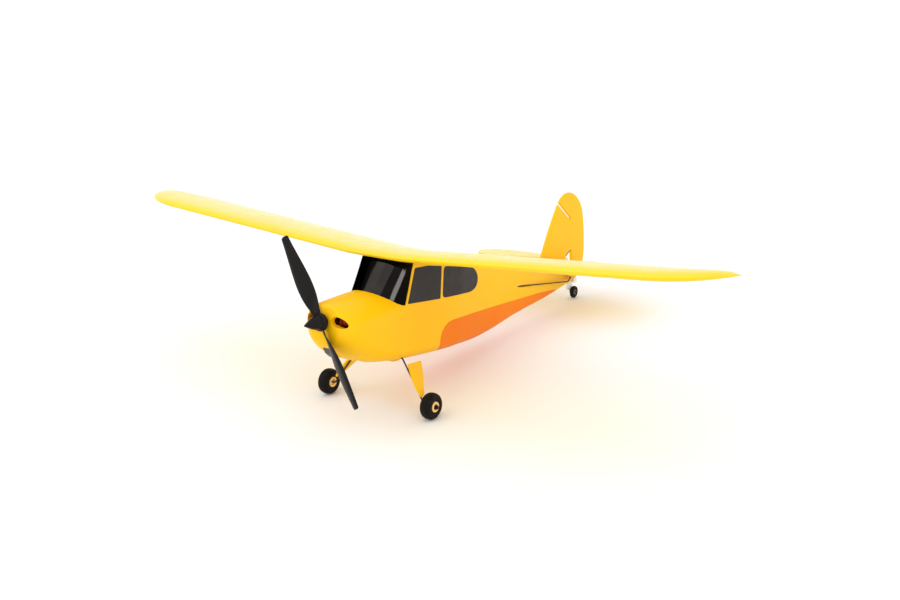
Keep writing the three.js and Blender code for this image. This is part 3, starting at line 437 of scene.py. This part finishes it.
# ---------------------------------------------------------------- materials
class Finish:
    """Builds one procedural material. Lengths are in millimetres on the object."""

    def __init__(self, name, colour, roughness, **sockets):
        self.material = bpy.data.materials.new(name)
        self.material.use_nodes = True
        self.tree = self.material.node_tree
        self.shader = self.tree.nodes["Principled BSDF"]
        self.colour = (*colour, 1)
        self.shader.inputs["Base Color"].default_value = self.colour
        self.shader.inputs["Roughness"].default_value = roughness
        for socket, value in sockets.items():
            self.shader.inputs[socket.replace("_", " ")].default_value = value
        self.place = self.node("ShaderNodeTexCoord").outputs["Object"]
        self.roughness = roughness
        self.normal = None
        self.tint = None

    def node(self, kind, **settings):
        made = self.tree.nodes.new(kind)
        for key, value in settings.items():
            setattr(made, key, value)
        return made

    def stretched(self, scale):
        mapping = self.node("ShaderNodeMapping")
        mapping.inputs["Scale"].default_value = scale
        self.tree.links.new(self.place, mapping.inputs["Vector"])
        return mapping.outputs["Vector"]

    def noise(self, size, detail=3, stretch=None):
        made = self.node("ShaderNodeTexNoise")
        made.inputs["Scale"].default_value = 1000 / size
        made.inputs["Detail"].default_value = detail
        self.tree.links.new(self.stretched(stretch) if stretch else self.place, made.inputs["Vector"])
        return made.outputs["Fac"]

    def cells(self, size, feature="F1"):
        made = self.node("ShaderNodeTexVoronoi", feature=feature)
        made.inputs["Scale"].default_value = 1000 / size
        self.tree.links.new(self.place, made.inputs["Vector"])
        return made.outputs["Distance"]

    def remap(self, value, low, high, to_low=0.0, to_high=1.0):
        made = self.node("ShaderNodeMapRange")
        limits = {"From Min": low, "From Max": high, "To Min": to_low, "To Max": to_high}
        for socket, number in limits.items():
            made.inputs[socket].default_value = number
        self.tree.links.new(value, made.inputs["Value"])
        return made.outputs["Result"]

    def tinted(self, value, colour, low=0.4, high=0.7, amount=1.0):
        """Mixes another colour in where value is high."""
        mix = self.node("ShaderNodeMix", data_type="RGBA")
        mix.inputs["A"].default_value = self.colour
        if self.tint is not None:
            self.tree.links.new(self.tint, mix.inputs["A"])
        mix.inputs["B"].default_value = (*colour, 1)
        self.tree.links.new(self.remap(value, low, high, 0, amount), mix.inputs["Factor"])
        self.tint = mix.outputs["Result"]
        self.tree.links.new(self.tint, self.shader.inputs["Base Color"])
        return self

    def rough(self, value, spread, low=0.35, high=0.65):
        result = self.remap(value, low, high, self.roughness - spread, self.roughness + spread)
        self.tree.links.new(result, self.shader.inputs["Roughness"])
        return self

    def bumped(self, value, height, strength=1.0):
        """Adds relief of the given height in millimetres."""
        made = self.node("ShaderNodeBump")
        made.inputs["Distance"].default_value = height / 1000
        made.inputs["Strength"].default_value = strength
        self.tree.links.new(value, made.inputs["Height"])
        if self.normal is not None:
            self.tree.links.new(self.normal, made.inputs["Normal"])
        self.normal = made.outputs["Normal"]
        self.tree.links.new(self.normal, self.shader.inputs["Normal"])
        return self


def foam(name, colour, shade, gloss, **sockets):
    """Moulded foam: fine fused beads under a smooth skin, and slow drifts of colour."""
    made = Finish(name, colour, gloss, **sockets)
    made.tinted(made.noise(70, 2), shade, 0.42, 0.72, 0.5)
    made.tinted(made.cells(2.6), shade, 0.45, 0.95, 0.16)
    made.rough(made.noise(9), 0.07)
    made.bumped(made.cells(2.6, "SMOOTH_F1"), 0.05, 0.5)
    made.bumped(made.noise(0.7), 0.02, 0.35)
    return made.material


def moulded(name, colour, roughness, scuff, grain=0.5, **sockets):
    """Injection-moulded plastic: fine spark-eroded grain, a little uneven sheen and rubbed spots."""
    made = Finish(name, colour, roughness, **sockets)
    made.tinted(made.noise(11, 4), scuff, 0.56, 0.78, 0.35)
    made.rough(made.noise(4, 4), 0.06)
    made.bumped(made.noise(grain), 0.012, 0.5)
    return made.material


def metal(name, colour, roughness, along, metallic=0.95):
    """Drawn or turned metal with fine lines along the given stretch."""
    made = Finish(name, colour, roughness, Metallic=metallic)
    made.tinted(made.noise(2.2, 3), tuple(0.55 * c for c in colour), 0.5, 0.8, 0.5)
    made.rough(made.noise(0.8, 2, along), 0.08)
    made.bumped(made.noise(0.5, 2, along), 0.008, 0.4)
    return made.material


def glossy_screen():
    made = Finish("gloss black sheet", (0.0058, 0.0053, 0.005), 0.06, Metallic=1,
                  Specular_Tint=(0.02, 0.02, 0.02, 1))
    made.tinted(made.noise(9, 3), (0.0085, 0.0075, 0.007), 0.5, 0.75, 0.6)
    made.rough(made.noise(14, 4), 0.03)
    made.bumped(made.noise(16, 1), 0.1, 0.25)
    return made.material


def window_film():
    made = Finish("dark window film", (0.021, 0.0175, 0.0175), 0.38, Specular_IOR_Level=0.17)
    made.tinted(made.noise(40, 2), (0.031, 0.027, 0.026), 0.4, 0.7, 0.6)
    made.rough(made.noise(6), 0.06)
    made.bumped(made.noise(2.2), 0.02, 0.35)
    return made.material


def stripe_film():
    made = Finish("orange film", (0.88, 0.185, 0.001), 0.4, Specular_IOR_Level=0.1)
    made.tinted(made.noise(60, 2), (0.88, 0.235, 0.002), 0.4, 0.7, 0.6)
    made.rough(made.noise(7), 0.06)
    made.bumped(made.cells(2.6, "SMOOTH_F1"), 0.04, 0.4)
    made.bumped(made.noise(0.7), 0.02, 0.3)
    return made.material


def tyre_foam():
    made = Finish("black foam rubber", (0.0055, 0.0045, 0.004), 0.62, Specular_IOR_Level=0.12)
    made.tinted(made.noise(3, 4), (0.016, 0.013, 0.011), 0.5, 0.75, 0.6)
    made.bumped(made.cells(0.5), 0.06, 0.7)
    made.bumped(made.noise(1.2), 0.05, 0.4)
    return made.material


def plywood():
    made = Finish("thin plywood", (0.56, 0.36, 0.17), 0.62)
    made.tinted(made.noise(1.6, 5, (1, 0.07, 1)), (0.36, 0.2, 0.08), 0.42, 0.7, 0.8)
    made.bumped(made.noise(0.8, 3, (1, 0.1, 1)), 0.03, 0.5)
    return made.material


def wound_carbon():
    made = Finish("pultruded carbon", (0.012, 0.012, 0.013), 0.36)
    made.tinted(made.noise(0.6, 2, (0.02, 1, 1)), (0.045, 0.045, 0.05), 0.45, 0.7, 0.7)
    made.bumped(made.noise(0.4, 2, (0.02, 1, 1)), 0.02, 0.5)
    return made.material


def board():
    made = Finish("circuit board", (0.012, 0.11, 0.04), 0.35)
    made.tinted(made.cells(2.4, "DISTANCE_TO_EDGE"), (0.01, 0.05, 0.022), 0.0, 0.12, 0.7)
    made.bumped(made.cells(1.3), 0.05, 0.5)
    return made.material


def hook_tape():
    made = Finish("hook tape", (0.62, 0.62, 0.58), 0.9, Sheen_Weight=0.3)
    made.tinted(made.noise(0.6, 4), (0.3, 0.3, 0.28), 0.45, 0.65, 0.8)
    made.bumped(made.cells(0.7), 0.2, 0.8)
    return made.material


UNDER_FOAM = foam("lemon foam underside", (0.93, 0.65, 0.012), (0.92, 0.59, 0.01), 0.45,
                  Specular_IOR_Level=0.16)
BODY_FOAM = foam("golden foam", (0.95, 0.535, 0.002), (0.93, 0.46, 0.001), 0.42, Specular_IOR_Level=0.16)
WING_FOAM = foam("lemon foam", (0.93, 0.65, 0.012), (0.92, 0.59, 0.01), 0.3, Specular_IOR_Level=0.5,
                 Sheen_Weight=0.28, Sheen_Roughness=0.35)
BLACK_NYLON = moulded("black nylon", (0.0075, 0.006, 0.0055), 0.33, (0.018, 0.014, 0.012),
                      Specular_IOR_Level=0.14)
DARK_COLLAR = moulded("dark collar", (0.03, 0.008, 0.006), 0.4, (0.05, 0.014, 0.01), Specular_IOR_Level=0.14)
GREY_NYLON = moulded("grey nylon", (0.06, 0.06, 0.066), 0.42, (0.1, 0.1, 0.105), Specular_IOR_Level=0.3)
PALE_NYLON = moulded("pale grey nylon", (0.2, 0.2, 0.2), 0.42, (0.14, 0.14, 0.14), Specular_IOR_Level=0.3)
WHITE_NYLON = moulded("white nylon", (0.88, 0.89, 0.89), 0.32, (0.78, 0.78, 0.76))
YELLOW_NYLON = moulded("yellow nylon", (0.90, 0.45, 0.02), 0.38, (0.8, 0.36, 0.015))
CREAM_PLASTIC = moulded("cream plastic", (0.93, 0.60, 0.20), 0.36, (0.8, 0.48, 0.14))
RED_PLASTIC = moulded("engine red", (0.34, 0.03, 0.012), 0.45, (0.12, 0.014, 0.008))
BLUE_WRAP = moulded("battery wrap", (0.028, 0.11, 0.34), 0.28, (0.02, 0.08, 0.26), 3)
BLACK_WIRE = metal("blackened wire", (0.035, 0.014, 0.007), 0.42, (1, 1, 0.1), 0.3)
BRIGHT_STEEL = metal("bright steel", (0.62, 0.63, 0.65), 0.28, (1, 0.1, 1))
BRASS = metal("brass", (0.62, 0.42, 0.16), 0.26, (1, 0.1, 1))
TYRE = tyre_foam()
WINDOW = window_film()
ORANGE = stripe_film()
SCREEN = glossy_screen()


# ---------------------------------------------------------------- fuselage
def station_rows(hollow):
    """The station table; the hollow keeps a full wall where the cabin front steps up."""
    rows = STATIONS.copy()
    if hollow:
        rows[rows[:, 0] == DECK_END, 0] = DECK_END - 1.5
        rows[rows[:, 0] == CABIN_START, 0] = CABIN_START + 3.5
    return rows


def fuselage_ring(y, inset=0.0, hollow=False, steps=9):
    rows = station_rows(hollow)
    half, top, bottom, *corners = steady(rows[:, 0], rows[:, 1:], [y])[0]
    w, t, b = half - inset, top - inset, bottom + inset
    tw, th, lw, lh = (max(c - inset, 0.3) for c in corners)
    arcs = ((w - tw, t - th, tw, th, 0), (tw - w, t - th, tw, th, 90),
            (lw - w, b + lh, lw, lh, 180), (w - lw, b + lh, lw, lh, 270))
    ring = []
    for cx, cz, wide, high, start in arcs:
        for i in range(steps + 1):
            angle = math.radians(start + 90 * i / steps)
            ring.append((cx + wide * math.cos(angle), y, cz + high * math.sin(angle)))
    return ring


def fuselage_loft(inset=0.0, hollow=False):
    rows = station_rows(hollow)
    if hollow:
        rows = rows[(rows[:, 0] >= HOLLOW[0]) & (rows[:, 0] <= HOLLOW[1])]
    spots = []
    for a, b in zip(rows[:-1, 0], rows[1:, 0]):
        stride = 1.0 if a < 25 else 2.5 if a <= CABIN_END else 6
        spots += list(np.linspace(a, b, max(2, math.ceil((b - a) / stride)), endpoint=False))
    return solid([fuselage_ring(y, inset, hollow) for y in spots + [rows[-1, 0]]])


def seat_height(y):
    return WING_ROOT_Z - (y - WING_LE) * INCIDENCE


def seat_rise(x):
    """The wing seat is flat across the cabin and rises with the dihedral outside it."""
    return max(abs(x), WING_FLAT_CENTRE) * DIHEDRAL


def wing_seat(drop):
    """Block above the wing underside."""
    rings = []
    for x in (-40, -WING_FLAT_CENTRE, WING_FLAT_CENTRE, 40):
        rise = seat_rise(x) - drop
        rings.append([(x, SEAT_FRONT, seat_height(SEAT_FRONT) + rise),
                      (x, SEAT_BACK, seat_height(SEAT_BACK) + rise),
                      (x, SEAT_BACK, 90), (x, SEAT_FRONT, 90)])
    return solid(rings)


def film_panel(outline):
    panel = prism(outline, 0.5, 60)
    carve(panel, [fuselage_loft()], "INTERSECT")
    return carve(panel, [fuselage_loft(FILM), wing_seat(FIT)])


def film_pocket(outline):
    return carve(prism(offset(outline, -FIT), 0.5, 60), [fuselage_loft(FILM + FIT)])


def nostril_cutter():
    outline = softened(*NOSTRIL)
    return solid([[(x, y, z) for x, z in outline] for y in (-6, 14)])


def rod_slot(rod):
    horn, way_out = (Vector(p) for p in rod)
    along = (horn - way_out).normalized()
    return swept([way_out - along * 116, horn], ROD_RADIUS + 0.45, 24)


def chin_block(grow):
    rings = []
    for y, top, bottom, half in CHIN:
        wide = half + grow
        y += math.copysign(grow, y - 11)
        rings.append([(-wide, y, top + grow), (wide, y, top + grow),
                      (0.8 * wide, y, bottom - grow), (-0.8 * wide, y, bottom - grow)])
    return solid(rings)


def gear_pocket():
    """Room behind the propeller for the shaft, the spur gear and the pinion."""
    cavities = [turned([(-5, 2.6), (20, 2.6)], 48, "Y"),
                turned([(8, 8.8), (14, 8.8)], 72, "Y"),
                turned([(7.4, 3), (14, 3)], 36, "Y", (0, 0, -MOTOR_DROP))]
    return [on_shaft(cavity) for cavity in cavities]


def make_fuselage():
    outlines = {"front_window": softened(*FRONT_WINDOW), "rear_window": softened(*REAR_WINDOW),
                "belly_stripe": softened(*STRIPE)}
    shell = carve(fuselage_loft(), [fuselage_loft(FOAM_WALL, hollow=True), wing_seat(FIT)])
    cutters = [nostril_cutter()] + [film_pocket(outline) for outline in outlines.values()]
    cutters += [copy_of(cutter, MIRROR) for cutter in cutters]
    half_slot = SHEET / 2 + FIT
    wheel_y = MAIN_WHEEL[1]
    cutters += [block(-12, 12, 280.2, 330, STAB_Z - half_slot, STAB_Z + half_slot),
                block(-half_slot, half_slot, 276, 330, 17.2, 40),
                block(-11.5, 11.5, 28.4, 62.4, -45, -24),
                block(-15.1, 15.1, wheel_y - 4.1, wheel_y + 4.1, -45, GEAR_CROSS_Z - WIRE),
                block(-27, 27, wheel_y - 0.8, wheel_y + 0.8, -45, GEAR_CROSS_Z + 0.8),
                prism(STERN_CUT, -12, 12), chin_block(FIT), rod_slot(RUDDER_ROD), rod_slot(ELEVATOR_ROD)]
    carve(shell, cutters + gear_pocket())
    right = copy_of(shell)
    carve(shell, [block(FIT / 2, 60, -10, 340, -60, 60)], "INTERSECT")
    carve(right, [block(-60, -FIT / 2, -10, 340, -60, 60)], "INTERSECT")
    finished(shell, "fuselage_half_left_shape", "airframe", BODY_FOAM, ["fuselage_half_left"])
    finished(right, "fuselage_half_right_shape", "airframe", BODY_FOAM, ["fuselage_half_right"])
    looks = {"front_window": ("window_film", WINDOW), "rear_window": ("window_film", WINDOW),
             "belly_stripe": ("stripe", ORANGE)}
    for name, outline in outlines.items():
        panel = film_panel(outline)
        slot, material = looks[name]
        for side, piece in (("right", copy_of(panel, MIRROR)), ("left", panel)):
            finished(piece, f"{name}_{side}_shape", "airframe", material, [f"{name}_{side}"])
    finished(chin_block(0), "chin_scoop_shape", "airframe", GREY_NYLON, ["chin_scoop"])


def deck_height(x, y):
    _, top, _, wide, high = steady(STATIONS[:, 0], STATIONS[:, 1:6], [y])[0]
    return top - high + high * math.sqrt(max(0.0, 1 - (x / wide) ** 2))


def make_windscreen():
    """Wrap-round screen ruled between the nose deck and the wing."""
    low, high = flowing(SCREEN_LOW, 5), flowing(SCREEN_HIGH, 5)
    last = len(low) - 1
    rings = []
    for i in list(range(-last, 0)) + list(range(last + 1)):
        side = -1 if i < 0 else 1
        (bx, by), (tx, ty) = low[abs(i)], high[abs(i)]
        foot = np.array([side * bx, by, deck_height(min(bx, 22.8), by) - 1])
        head = np.array([side * tx, ty, seat_height(ty) + seat_rise(tx) - FIT])
        back = np.array([-side * abs(i) / last, 0 if abs(i) == last else 1, 0])
        outer = [foot + (head - foot) * u for u in np.linspace(0, 1, 9)]
        rings.append(outer + [p + back for p in reversed(outer)])
    screen = carve(solid(rings), [fuselage_loft(-FIT)])
    return finished(screen, "windscreen_shape", "airframe", SCREEN, ["windscreen"], 30)


# ---------------------------------------------------------------- wing and tail
def wing_rise(x):
    """The dihedral with its two breaks a little rounded."""
    return (abs(x) + WING_FLAT_CENTRE + math.hypot(abs(x) - WING_FLAT_CENTRE, 3)) / 2 * DIHEDRAL


def wing_ring(x):
    reach = max(0.0, (abs(x) - WING_TIP_START) / (WING_HALF_SPAN - WING_TIP_START))
    front = WING_LE + WING_TIP_SWEEP * (1 - math.sqrt(1 - reach ** 2.6))
    back = WING_LE + WING_CHORD - (WING_CHORD - WING_TIP_SWEEP) * (1 - math.sqrt(1 - reach ** 4.5))
    chord = back - front
    share = chord / WING_CHORD
    lift = wing_rise(x) + WING_TIP_LIFT * reach ** 3
    section = flowing(AEROFOIL, 5)
    return [(x, front + along * chord,
             seat_height(front + along * chord) + lift + up * WING_CHORD * share ** 0.8)
            for along, up in section]


def spar_room(side, grow):
    rings = []
    for x in (side * (28 - grow), side * (190 + grow)):
        lift = wing_rise(x)
        rings.append([(x, y, seat_height(y) + lift + z) for y, z in
                      ((74 - grow, -1), (77 + grow, -1), (77 + grow, 0.8 + grow), (74 - grow, 0.8 + grow))])
    return solid(rings)


def make_wing():
    inner = list(np.linspace(0, WING_TIP_START, 42))
    outer = [WING_TIP_START + (WING_END - WING_TIP_START) * math.sin(a)
             for a in np.linspace(0, math.pi / 2, 30)[1:]]
    reach = inner[1:] + outer
    spans = [-x for x in reversed(reach)] + [0.0] + reach
    wing = carve(solid([wing_ring(x) for x in spans]), [spar_room(1, 0.15), spar_room(-1, 0.15)])
    finished(wing, "wing_shape", "airframe", WING_FOAM, ["wing"], 50)
    wing.data.materials.append(UNDER_FOAM)
    for face in wing.data.polygons:
        face.material_index = int(face.normal.z < 0.1)


def upright(u, v, w):
    return (w, u, v)


def level(u, v, w):
    return (u, v, STAB_Z + w)


def both_sides(half):
    """Closed outline of a left half, given from its middle to the hinge, and its mirror image."""
    return half + [(-x, y) for x, y in reversed(half)]


def make_tail():
    fin = rounded_sheet(with_corners(*FIN), upright, SHEET, SHEET_ROUNDING)
    finished(fin, "fin_shape", "airframe", BODY_FOAM, ["fin"])
    rudder = rounded_sheet(with_corners(*RUDDER), upright, SHEET, SHEET_ROUNDING)
    finished(rudder, "rudder_shape", "rudder_unit", BODY_FOAM, ["rudder"])

    aft = HINGE_Y - HINGE_GAP
    points = both_sides([(0.001, 281)] + STABILISER_HALF + [(STAB_END, aft)])
    sharp = (len(points) // 2 - 1, len(points) // 2)
    stabiliser = rounded_sheet(with_corners(points, sharp), level, SHEET, SHEET_ROUNDING)
    finished(stabiliser, "stabiliser_shape", "airframe", WING_FOAM, ["stabiliser"])

    points = both_sides([(STAB_END, HINGE_Y)] + ELEVATOR_HALF + [NOTCH_FRONT])
    tip = len(ELEVATOR_HALF)
    sharp = (0, tip, tip + 1, tip + 2, tip + 3, 2 * tip + 3)
    elevator = rounded_sheet(with_corners(points, sharp), level, SHEET, SHEET_ROUNDING)
    finished(elevator, "elevator_shape", "elevator_unit", WING_FOAM, ["elevator"])


def make_hinge_webs():
    """Strips of the sheet foam left uncut as live hinges."""
    reach, thick = 0.9, SHEET / 2 - 0.06
    level_web = block(-STAB_END + 1.2, STAB_END - 1.2, HINGE_Y - HINGE_GAP - reach, HINGE_Y + reach,
                      STAB_Z - thick, STAB_Z + thick)
    low, high = (Vector((0, *point)) for point in RUDDER_AXIS)
    up = (high - low).normalized()
    aft = Vector((0, up.z, -up.y))
    foot, head = low + 9.2 * up, high - 1.6 * up
    corners = [foot - 2.1 * aft, foot + reach * aft, head + reach * aft, head - 2.4 * aft]
    upright_web = prism([(corner.y, corner.z) for corner in corners], -thick, thick)
    webs = (("elevator_hinge_web", level_web, "wing_foam", WING_FOAM, "elevator_unit",
             Vector((0, HINGE_Y - HINGE_GAP, STAB_Z)), Vector((0, HINGE_Y, STAB_Z))),
            ("rudder_hinge_web", upright_web, "body_foam", BODY_FOAM, "rudder_unit",
             (low + high) / 2 - 1.2 * aft, (low + high) / 2))
    for name, web, slot, material, body, start, end in webs:
        web.name = name
        web.data.transform(TO_FRAME)
        web.data.materials.append(material)
        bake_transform(web)


# ---------------------------------------------------------------- power train
def make_propeller():
    radii = np.concatenate([np.linspace(3, 63, 41), [63.6, 64.1, 64.5, 64.8, PROP_RADIUS]])
    chords = steady(BLADE[:, 0], BLADE[:, 1], radii)[:, 0]
    section = with_corners(BLADE_SECTION, (0, 5), 5)
    rings = []
    for radius, chord in zip(radii, chords):
        if radius > 64:
            chord *= math.sqrt(1 - ((radius - 64) / 1.2) ** 2)
        twist = math.atan(PROP_PITCH / (2 * math.pi * max(radius, 9)))
        thick = 0.13 * chord + 0.5
        c, t = section[:, 0] * chord, section[:, 1] * thick
        xs = -c * math.cos(twist) + t * math.sin(twist)
        ys = -c * math.sin(twist) - t * math.cos(twist)
        rings.append([(x, y, radius) for x, y in zip(xs, ys)])
    blade = solid(rings)
    other = copy_of(blade, Matrix.Rotation(math.pi, 4, "Y"))
    profile = flowing([(-HUB_HALF_LENGTH, HUB_RADIUS - 0.7), (-1.4, HUB_RADIUS - 0.1), (1.4, HUB_RADIUS),
                       (HUB_HALF_LENGTH, HUB_RADIUS - 0.8)], 4)
    hub = turned(profile, 72, "Y")
    carve(hub, [blade, other], "UNION")
    carve(hub, [turned([(-9, SHAFT_BORE), (9, SHAFT_BORE)], 32, "Y")])
    hub.data.transform(Matrix.Rotation(math.radians(-PROP_LEAN), 4, "Y"))
    finished(on_shaft(hub), "propeller_shape", "propeller_shaft", BLACK_NYLON, ["propeller"])

    base = -HUB_HALF_LENGTH - FIT
    profile = flowing([(-SPINNER_TIP, 0.3), (-14.9, 0.6), (-14, 1), (-11.5, 2.2), (-8.5, 3.5), (-5.5, 4.5),
                       (base, SPINNER_RADIUS)], 5)
    spinner = carve(turned(profile, 72, "Y"), [turned([(-6, SHAFT_BORE), (0, SHAFT_BORE)], 32, "Y")])
    finished(on_shaft(spinner), "spinner_shape", "propeller_shaft", BLACK_NYLON, ["spinner"])


# ---------------------------------------------------------------- wheels and undercarriage
def tyre_ring(size, bore):
    """Cross-section of a foam tyre as (x, radius), tread to bore."""
    radius, width = size
    half = width / 2
    crown = [(-half * 0.93, bore + 0.5), (-half, radius * 0.66), (-half * 0.93, radius * 0.81),
             (-half * 0.7, radius * 0.93), (-half * 0.36, radius * 0.985), (0, radius)]
    crown += [(-x, r) for x, r in reversed(crown[:-1])]
    return [tuple(p) for p in flowing(crown, 4)] + [(half * 0.88, bore), (-half * 0.88, bore)]


def hub_ring(size, bore, dish):
    """Wheel centre: a rim round a dish sunk into each face."""
    radius, width = size
    dish_radius, depth = dish
    half = width / 2
    right = [(half - depth, bore), (half - depth, dish_radius - 0.1), (half - 0.3, dish_radius),
             (half, dish_radius + 0.3), (half, radius - 0.5), (half - 0.15, radius - 0.15),
             (half - 0.5, radius)]
    return right + [(-x, r) for x, r in reversed(right)]


def make_wheels():
    for side, sign in (("left", 1), ("right", -1)):
        centre = (sign * MAIN_WHEEL[0], MAIN_WHEEL[1], MAIN_WHEEL[2])
        tyre = ring_shape(tyre_ring(MAIN_TYRE, MAIN_HUB[0] + FIT), 96, centre)
        finished(tyre, f"main_tyre_{side}_shape", f"{side}_wheel", TYRE, [f"main_tyre_{side}"])
        hub = ring_shape(hub_ring(MAIN_HUB, WIRE + 0.2, MAIN_DISH), 64, centre)
        finished(hub, f"main_hub_{side}_shape", f"{side}_wheel", CREAM_PLASTIC,
                 [f"main_hub_{side}"])
    tyre = ring_shape(tyre_ring(TAIL_TYRE, TAIL_HUB[0] + FIT), 72, TAIL_WHEEL)
    finished(tyre, "tail_tyre_shape", "tail_wheel", TYRE, ["tail_tyre"])
    hub = ring_shape(hub_ring(TAIL_HUB, 0.7, TAIL_DISH), 48, TAIL_WHEEL)
    finished(hub, "tail_hub_shape", "tail_wheel", PALE_NYLON, ["tail_hub"])


def leg_x(z):
    return MAIN_WHEEL[0] - LEG_INSET + (MAIN_WHEEL[2] - z) * LEG_SPLAY


def make_undercarriage():
    x, y, z = MAIN_WHEEL
    outer = x + MAIN_TYRE[1] / 2 + 2.4
    half = [(leg_x(GEAR_CROSS_Z), y, GEAR_CROSS_Z), (leg_x(z), y, z), (outer, y, z)]
    points = [(-a, b, c) for a, b, c in reversed(half)] + half
    wire = swept(bent_path(points, 1.8), WIRE)
    finished(wire, "gear_wire_shape", "airframe", BLACK_WIRE, ["gear_wire"])

    slant = math.hypot(1, LEG_SPLAY)
    outboard = 1.7 * slant

    def along_leg(u, v, w):
        return (leg_x(v) + outboard + w / slant, u, v + w * LEG_SPLAY / slant)

    fairing = rounded_sheet(softened(FAIRING, 1), along_leg, FAIRING_THICKNESS, 0.6)
    for side, piece in (("right", copy_of(fairing, MIRROR)), ("left", fairing)):
        finished(piece, f"gear_fairing_{side}_shape", "airframe", BODY_FOAM,
                 [f"gear_fairing_{side}"])


def make_rod(side, rod, bends):
    """Straight pushrod from its servo to the first bend, then through the hole of the horn."""
    first, way_out = (Vector(point) for point in rod)
    along = (first - way_out).normalized()
    front = first - along * ((first.y - SERVO_Y) / along.y + 1)
    wire = swept(bent_path([front, first, *bends], ROD_BEND), ROD_RADIUS)
    name = f"{side}_pushrod"
    finished(wire, f"{name}_shape", f"{side}_drive", BLACK_WIRE, [name])


def make_rods():
    make_rod("rudder", RUDDER_ROD, [Vector(RUDDER_ROD[0]) - Vector((0, 0, 3.6))])
    horn = Vector(ELEVATOR_HORN)
    make_rod("elevator", ELEVATOR_ROD, [horn, horn - Vector((3, 0, 0))])


def dress_cad_nodes():
    looks = {
        WHITE_NYLON: ["tail_wheel_bracket", "rudder_slider", "elevator_slider"],
        YELLOW_NYLON: ["gear_plate", "elevator_horn"],
        BLACK_WIRE: ["tail_axle"],
        BLACK_NYLON: ["rudder_servo", "elevator_servo"],
        GREY_NYLON: ["gearbox_frame"],
        DARK_COLLAR: ["wheel_collar_left", "wheel_collar_right", "spur_gear"],
        BRIGHT_STEEL: ["prop_shaft", "motor", "motor_shaft"],
        BRASS: ["front_shaft_bush", "rear_shaft_bush", "motor_pinion"],
        RED_PLASTIC: ["dummy_cylinder_left", "dummy_cylinder_right"],
        BLUE_WRAP: ["battery"],
        plywood(): ["firewall", "battery_tray", "radio_tray"],
        wound_carbon(): ["wing_spar_left", "wing_spar_right"],
        board(): ["receiver_board"],
        hook_tape(): ["battery_tape"],
    }
    for material, nodes in looks.items():
        for node in nodes:
            dressed(node, material)


# ---------------------------------------------------------------- camera, floor and light
CAMERA_AZIMUTH = 37.68
CAMERA_ELEVATION = 18.77
CAMERA_ROLL = -3.51
CAMERA_FROM_HUB = Vector((0.5854, -0.61083, 0.29618))
LENS = 52
SENSOR = 36

# Lights in metres and watts: place, side of the square, power
KEY = ((-0.7, -1.7, 1.7), 1.4, 8)
FILL = ((1.6, -0.9, 1.2), 1.2, 4)
LIT_SPOT = (0, 0, 0.08)
SKY = 1.12
FLOOR_REACH = 30
FLOOR_DROP = 0.0002


def make_camera():
    data = bpy.data.cameras.new("camera")
    data.lens = LENS
    data.sensor_width = SENSOR
    data.clip_start = 0.05
    data.clip_end = 60
    camera = bpy.data.objects.new("camera", data)
    bpy.context.scene.collection.objects.link(camera)
    turn = Matrix.Rotation(math.radians(CAMERA_AZIMUTH), 4, "Z") \
        @ Matrix.Rotation(math.radians(90 - CAMERA_ELEVATION), 4, "X") \
        @ Matrix.Rotation(math.radians(CAMERA_ROLL), 4, "Z")
    camera.matrix_world = Matrix.Translation(HUB + CAMERA_FROM_HUB) @ turn
    bpy.context.scene.camera = camera


def area_light(name, place, target, size, power):
    data = bpy.data.lights.new(name, "AREA")
    data.shape = "RECTANGLE"
    data.size, data.size_y = size
    data.energy = power
    light = bpy.data.objects.new(name, data)
    bpy.context.scene.collection.objects.link(light)
    light.location = place
    light.rotation_mode = "QUATERNION"
    light.rotation_quaternion = (Vector(target) - Vector(place)).to_track_quat("-Z", "Y")
    return light


def reflected_card(name, screen, heading, height, distance, size, power):
    """Soft card of light that only the gloss black screen mirrors; heading turns from ahead to port."""
    turn, lift = math.radians(heading), math.radians(height)
    middle = TO_FRAME @ SCREEN_MIDDLE
    way = Vector((math.sin(turn) * math.cos(lift), -math.cos(turn) * math.cos(lift), math.sin(lift)))
    card = area_light(name, middle + distance * way, middle, size, power)
    card.visible_camera = False
    only_screen = bpy.data.collections.new(name + " receivers")
    only_screen.objects.link(screen)
    card.light_linking.receiver_collection = only_screen


def make_stage():
    mesh = bpy.data.meshes.new("floor")
    corners = [(-FLOOR_REACH, -FLOOR_REACH, 0), (FLOOR_REACH, -FLOOR_REACH, 0),
               (FLOOR_REACH, FLOOR_REACH, 0), (-FLOOR_REACH, FLOOR_REACH, 0)]
    mesh.from_pydata(corners, [], [(0, 1, 2, 3)])
    floor = bpy.data.objects.new("floor", mesh)
    bpy.context.scene.collection.objects.link(floor)
    paper = Finish("pale paper", (0.93, 0.93, 0.93), 0.9)
    paper.rough(paper.noise(30), 0.03)
    mesh.materials.append(paper.material)
    floor.location.z = -FLOOR_DROP

    world = bpy.data.worlds.new("studio")
    bpy.context.scene.world = world
    world.use_nodes = True
    sky = world.node_tree.nodes["Background"]
    sky.inputs["Color"].default_value = (1, 1, 1, 1)
    sky.inputs["Strength"].default_value = SKY
    for name, (place, side, power) in (("key", KEY), ("fill", FILL)):
        area_light(name, place, LIT_SPOT, (side, side), power)
    bpy.context.scene.view_settings.view_transform = "Standard"


make_camera()
make_stage()
make_fuselage()
screen = make_windscreen()
reflected_card("port card", screen, heading=80, height=17, distance=0.3, size=(0.08, 0.068), power=0.6)
reflected_card("overhead card", screen, heading=0, height=56, distance=0.2, size=(0.26, 0.1), power=0.5)
make_wing()
make_tail()
make_hinge_webs()
make_propeller()
make_wheels()
make_undercarriage()
make_rods()
dress_cad_nodes()
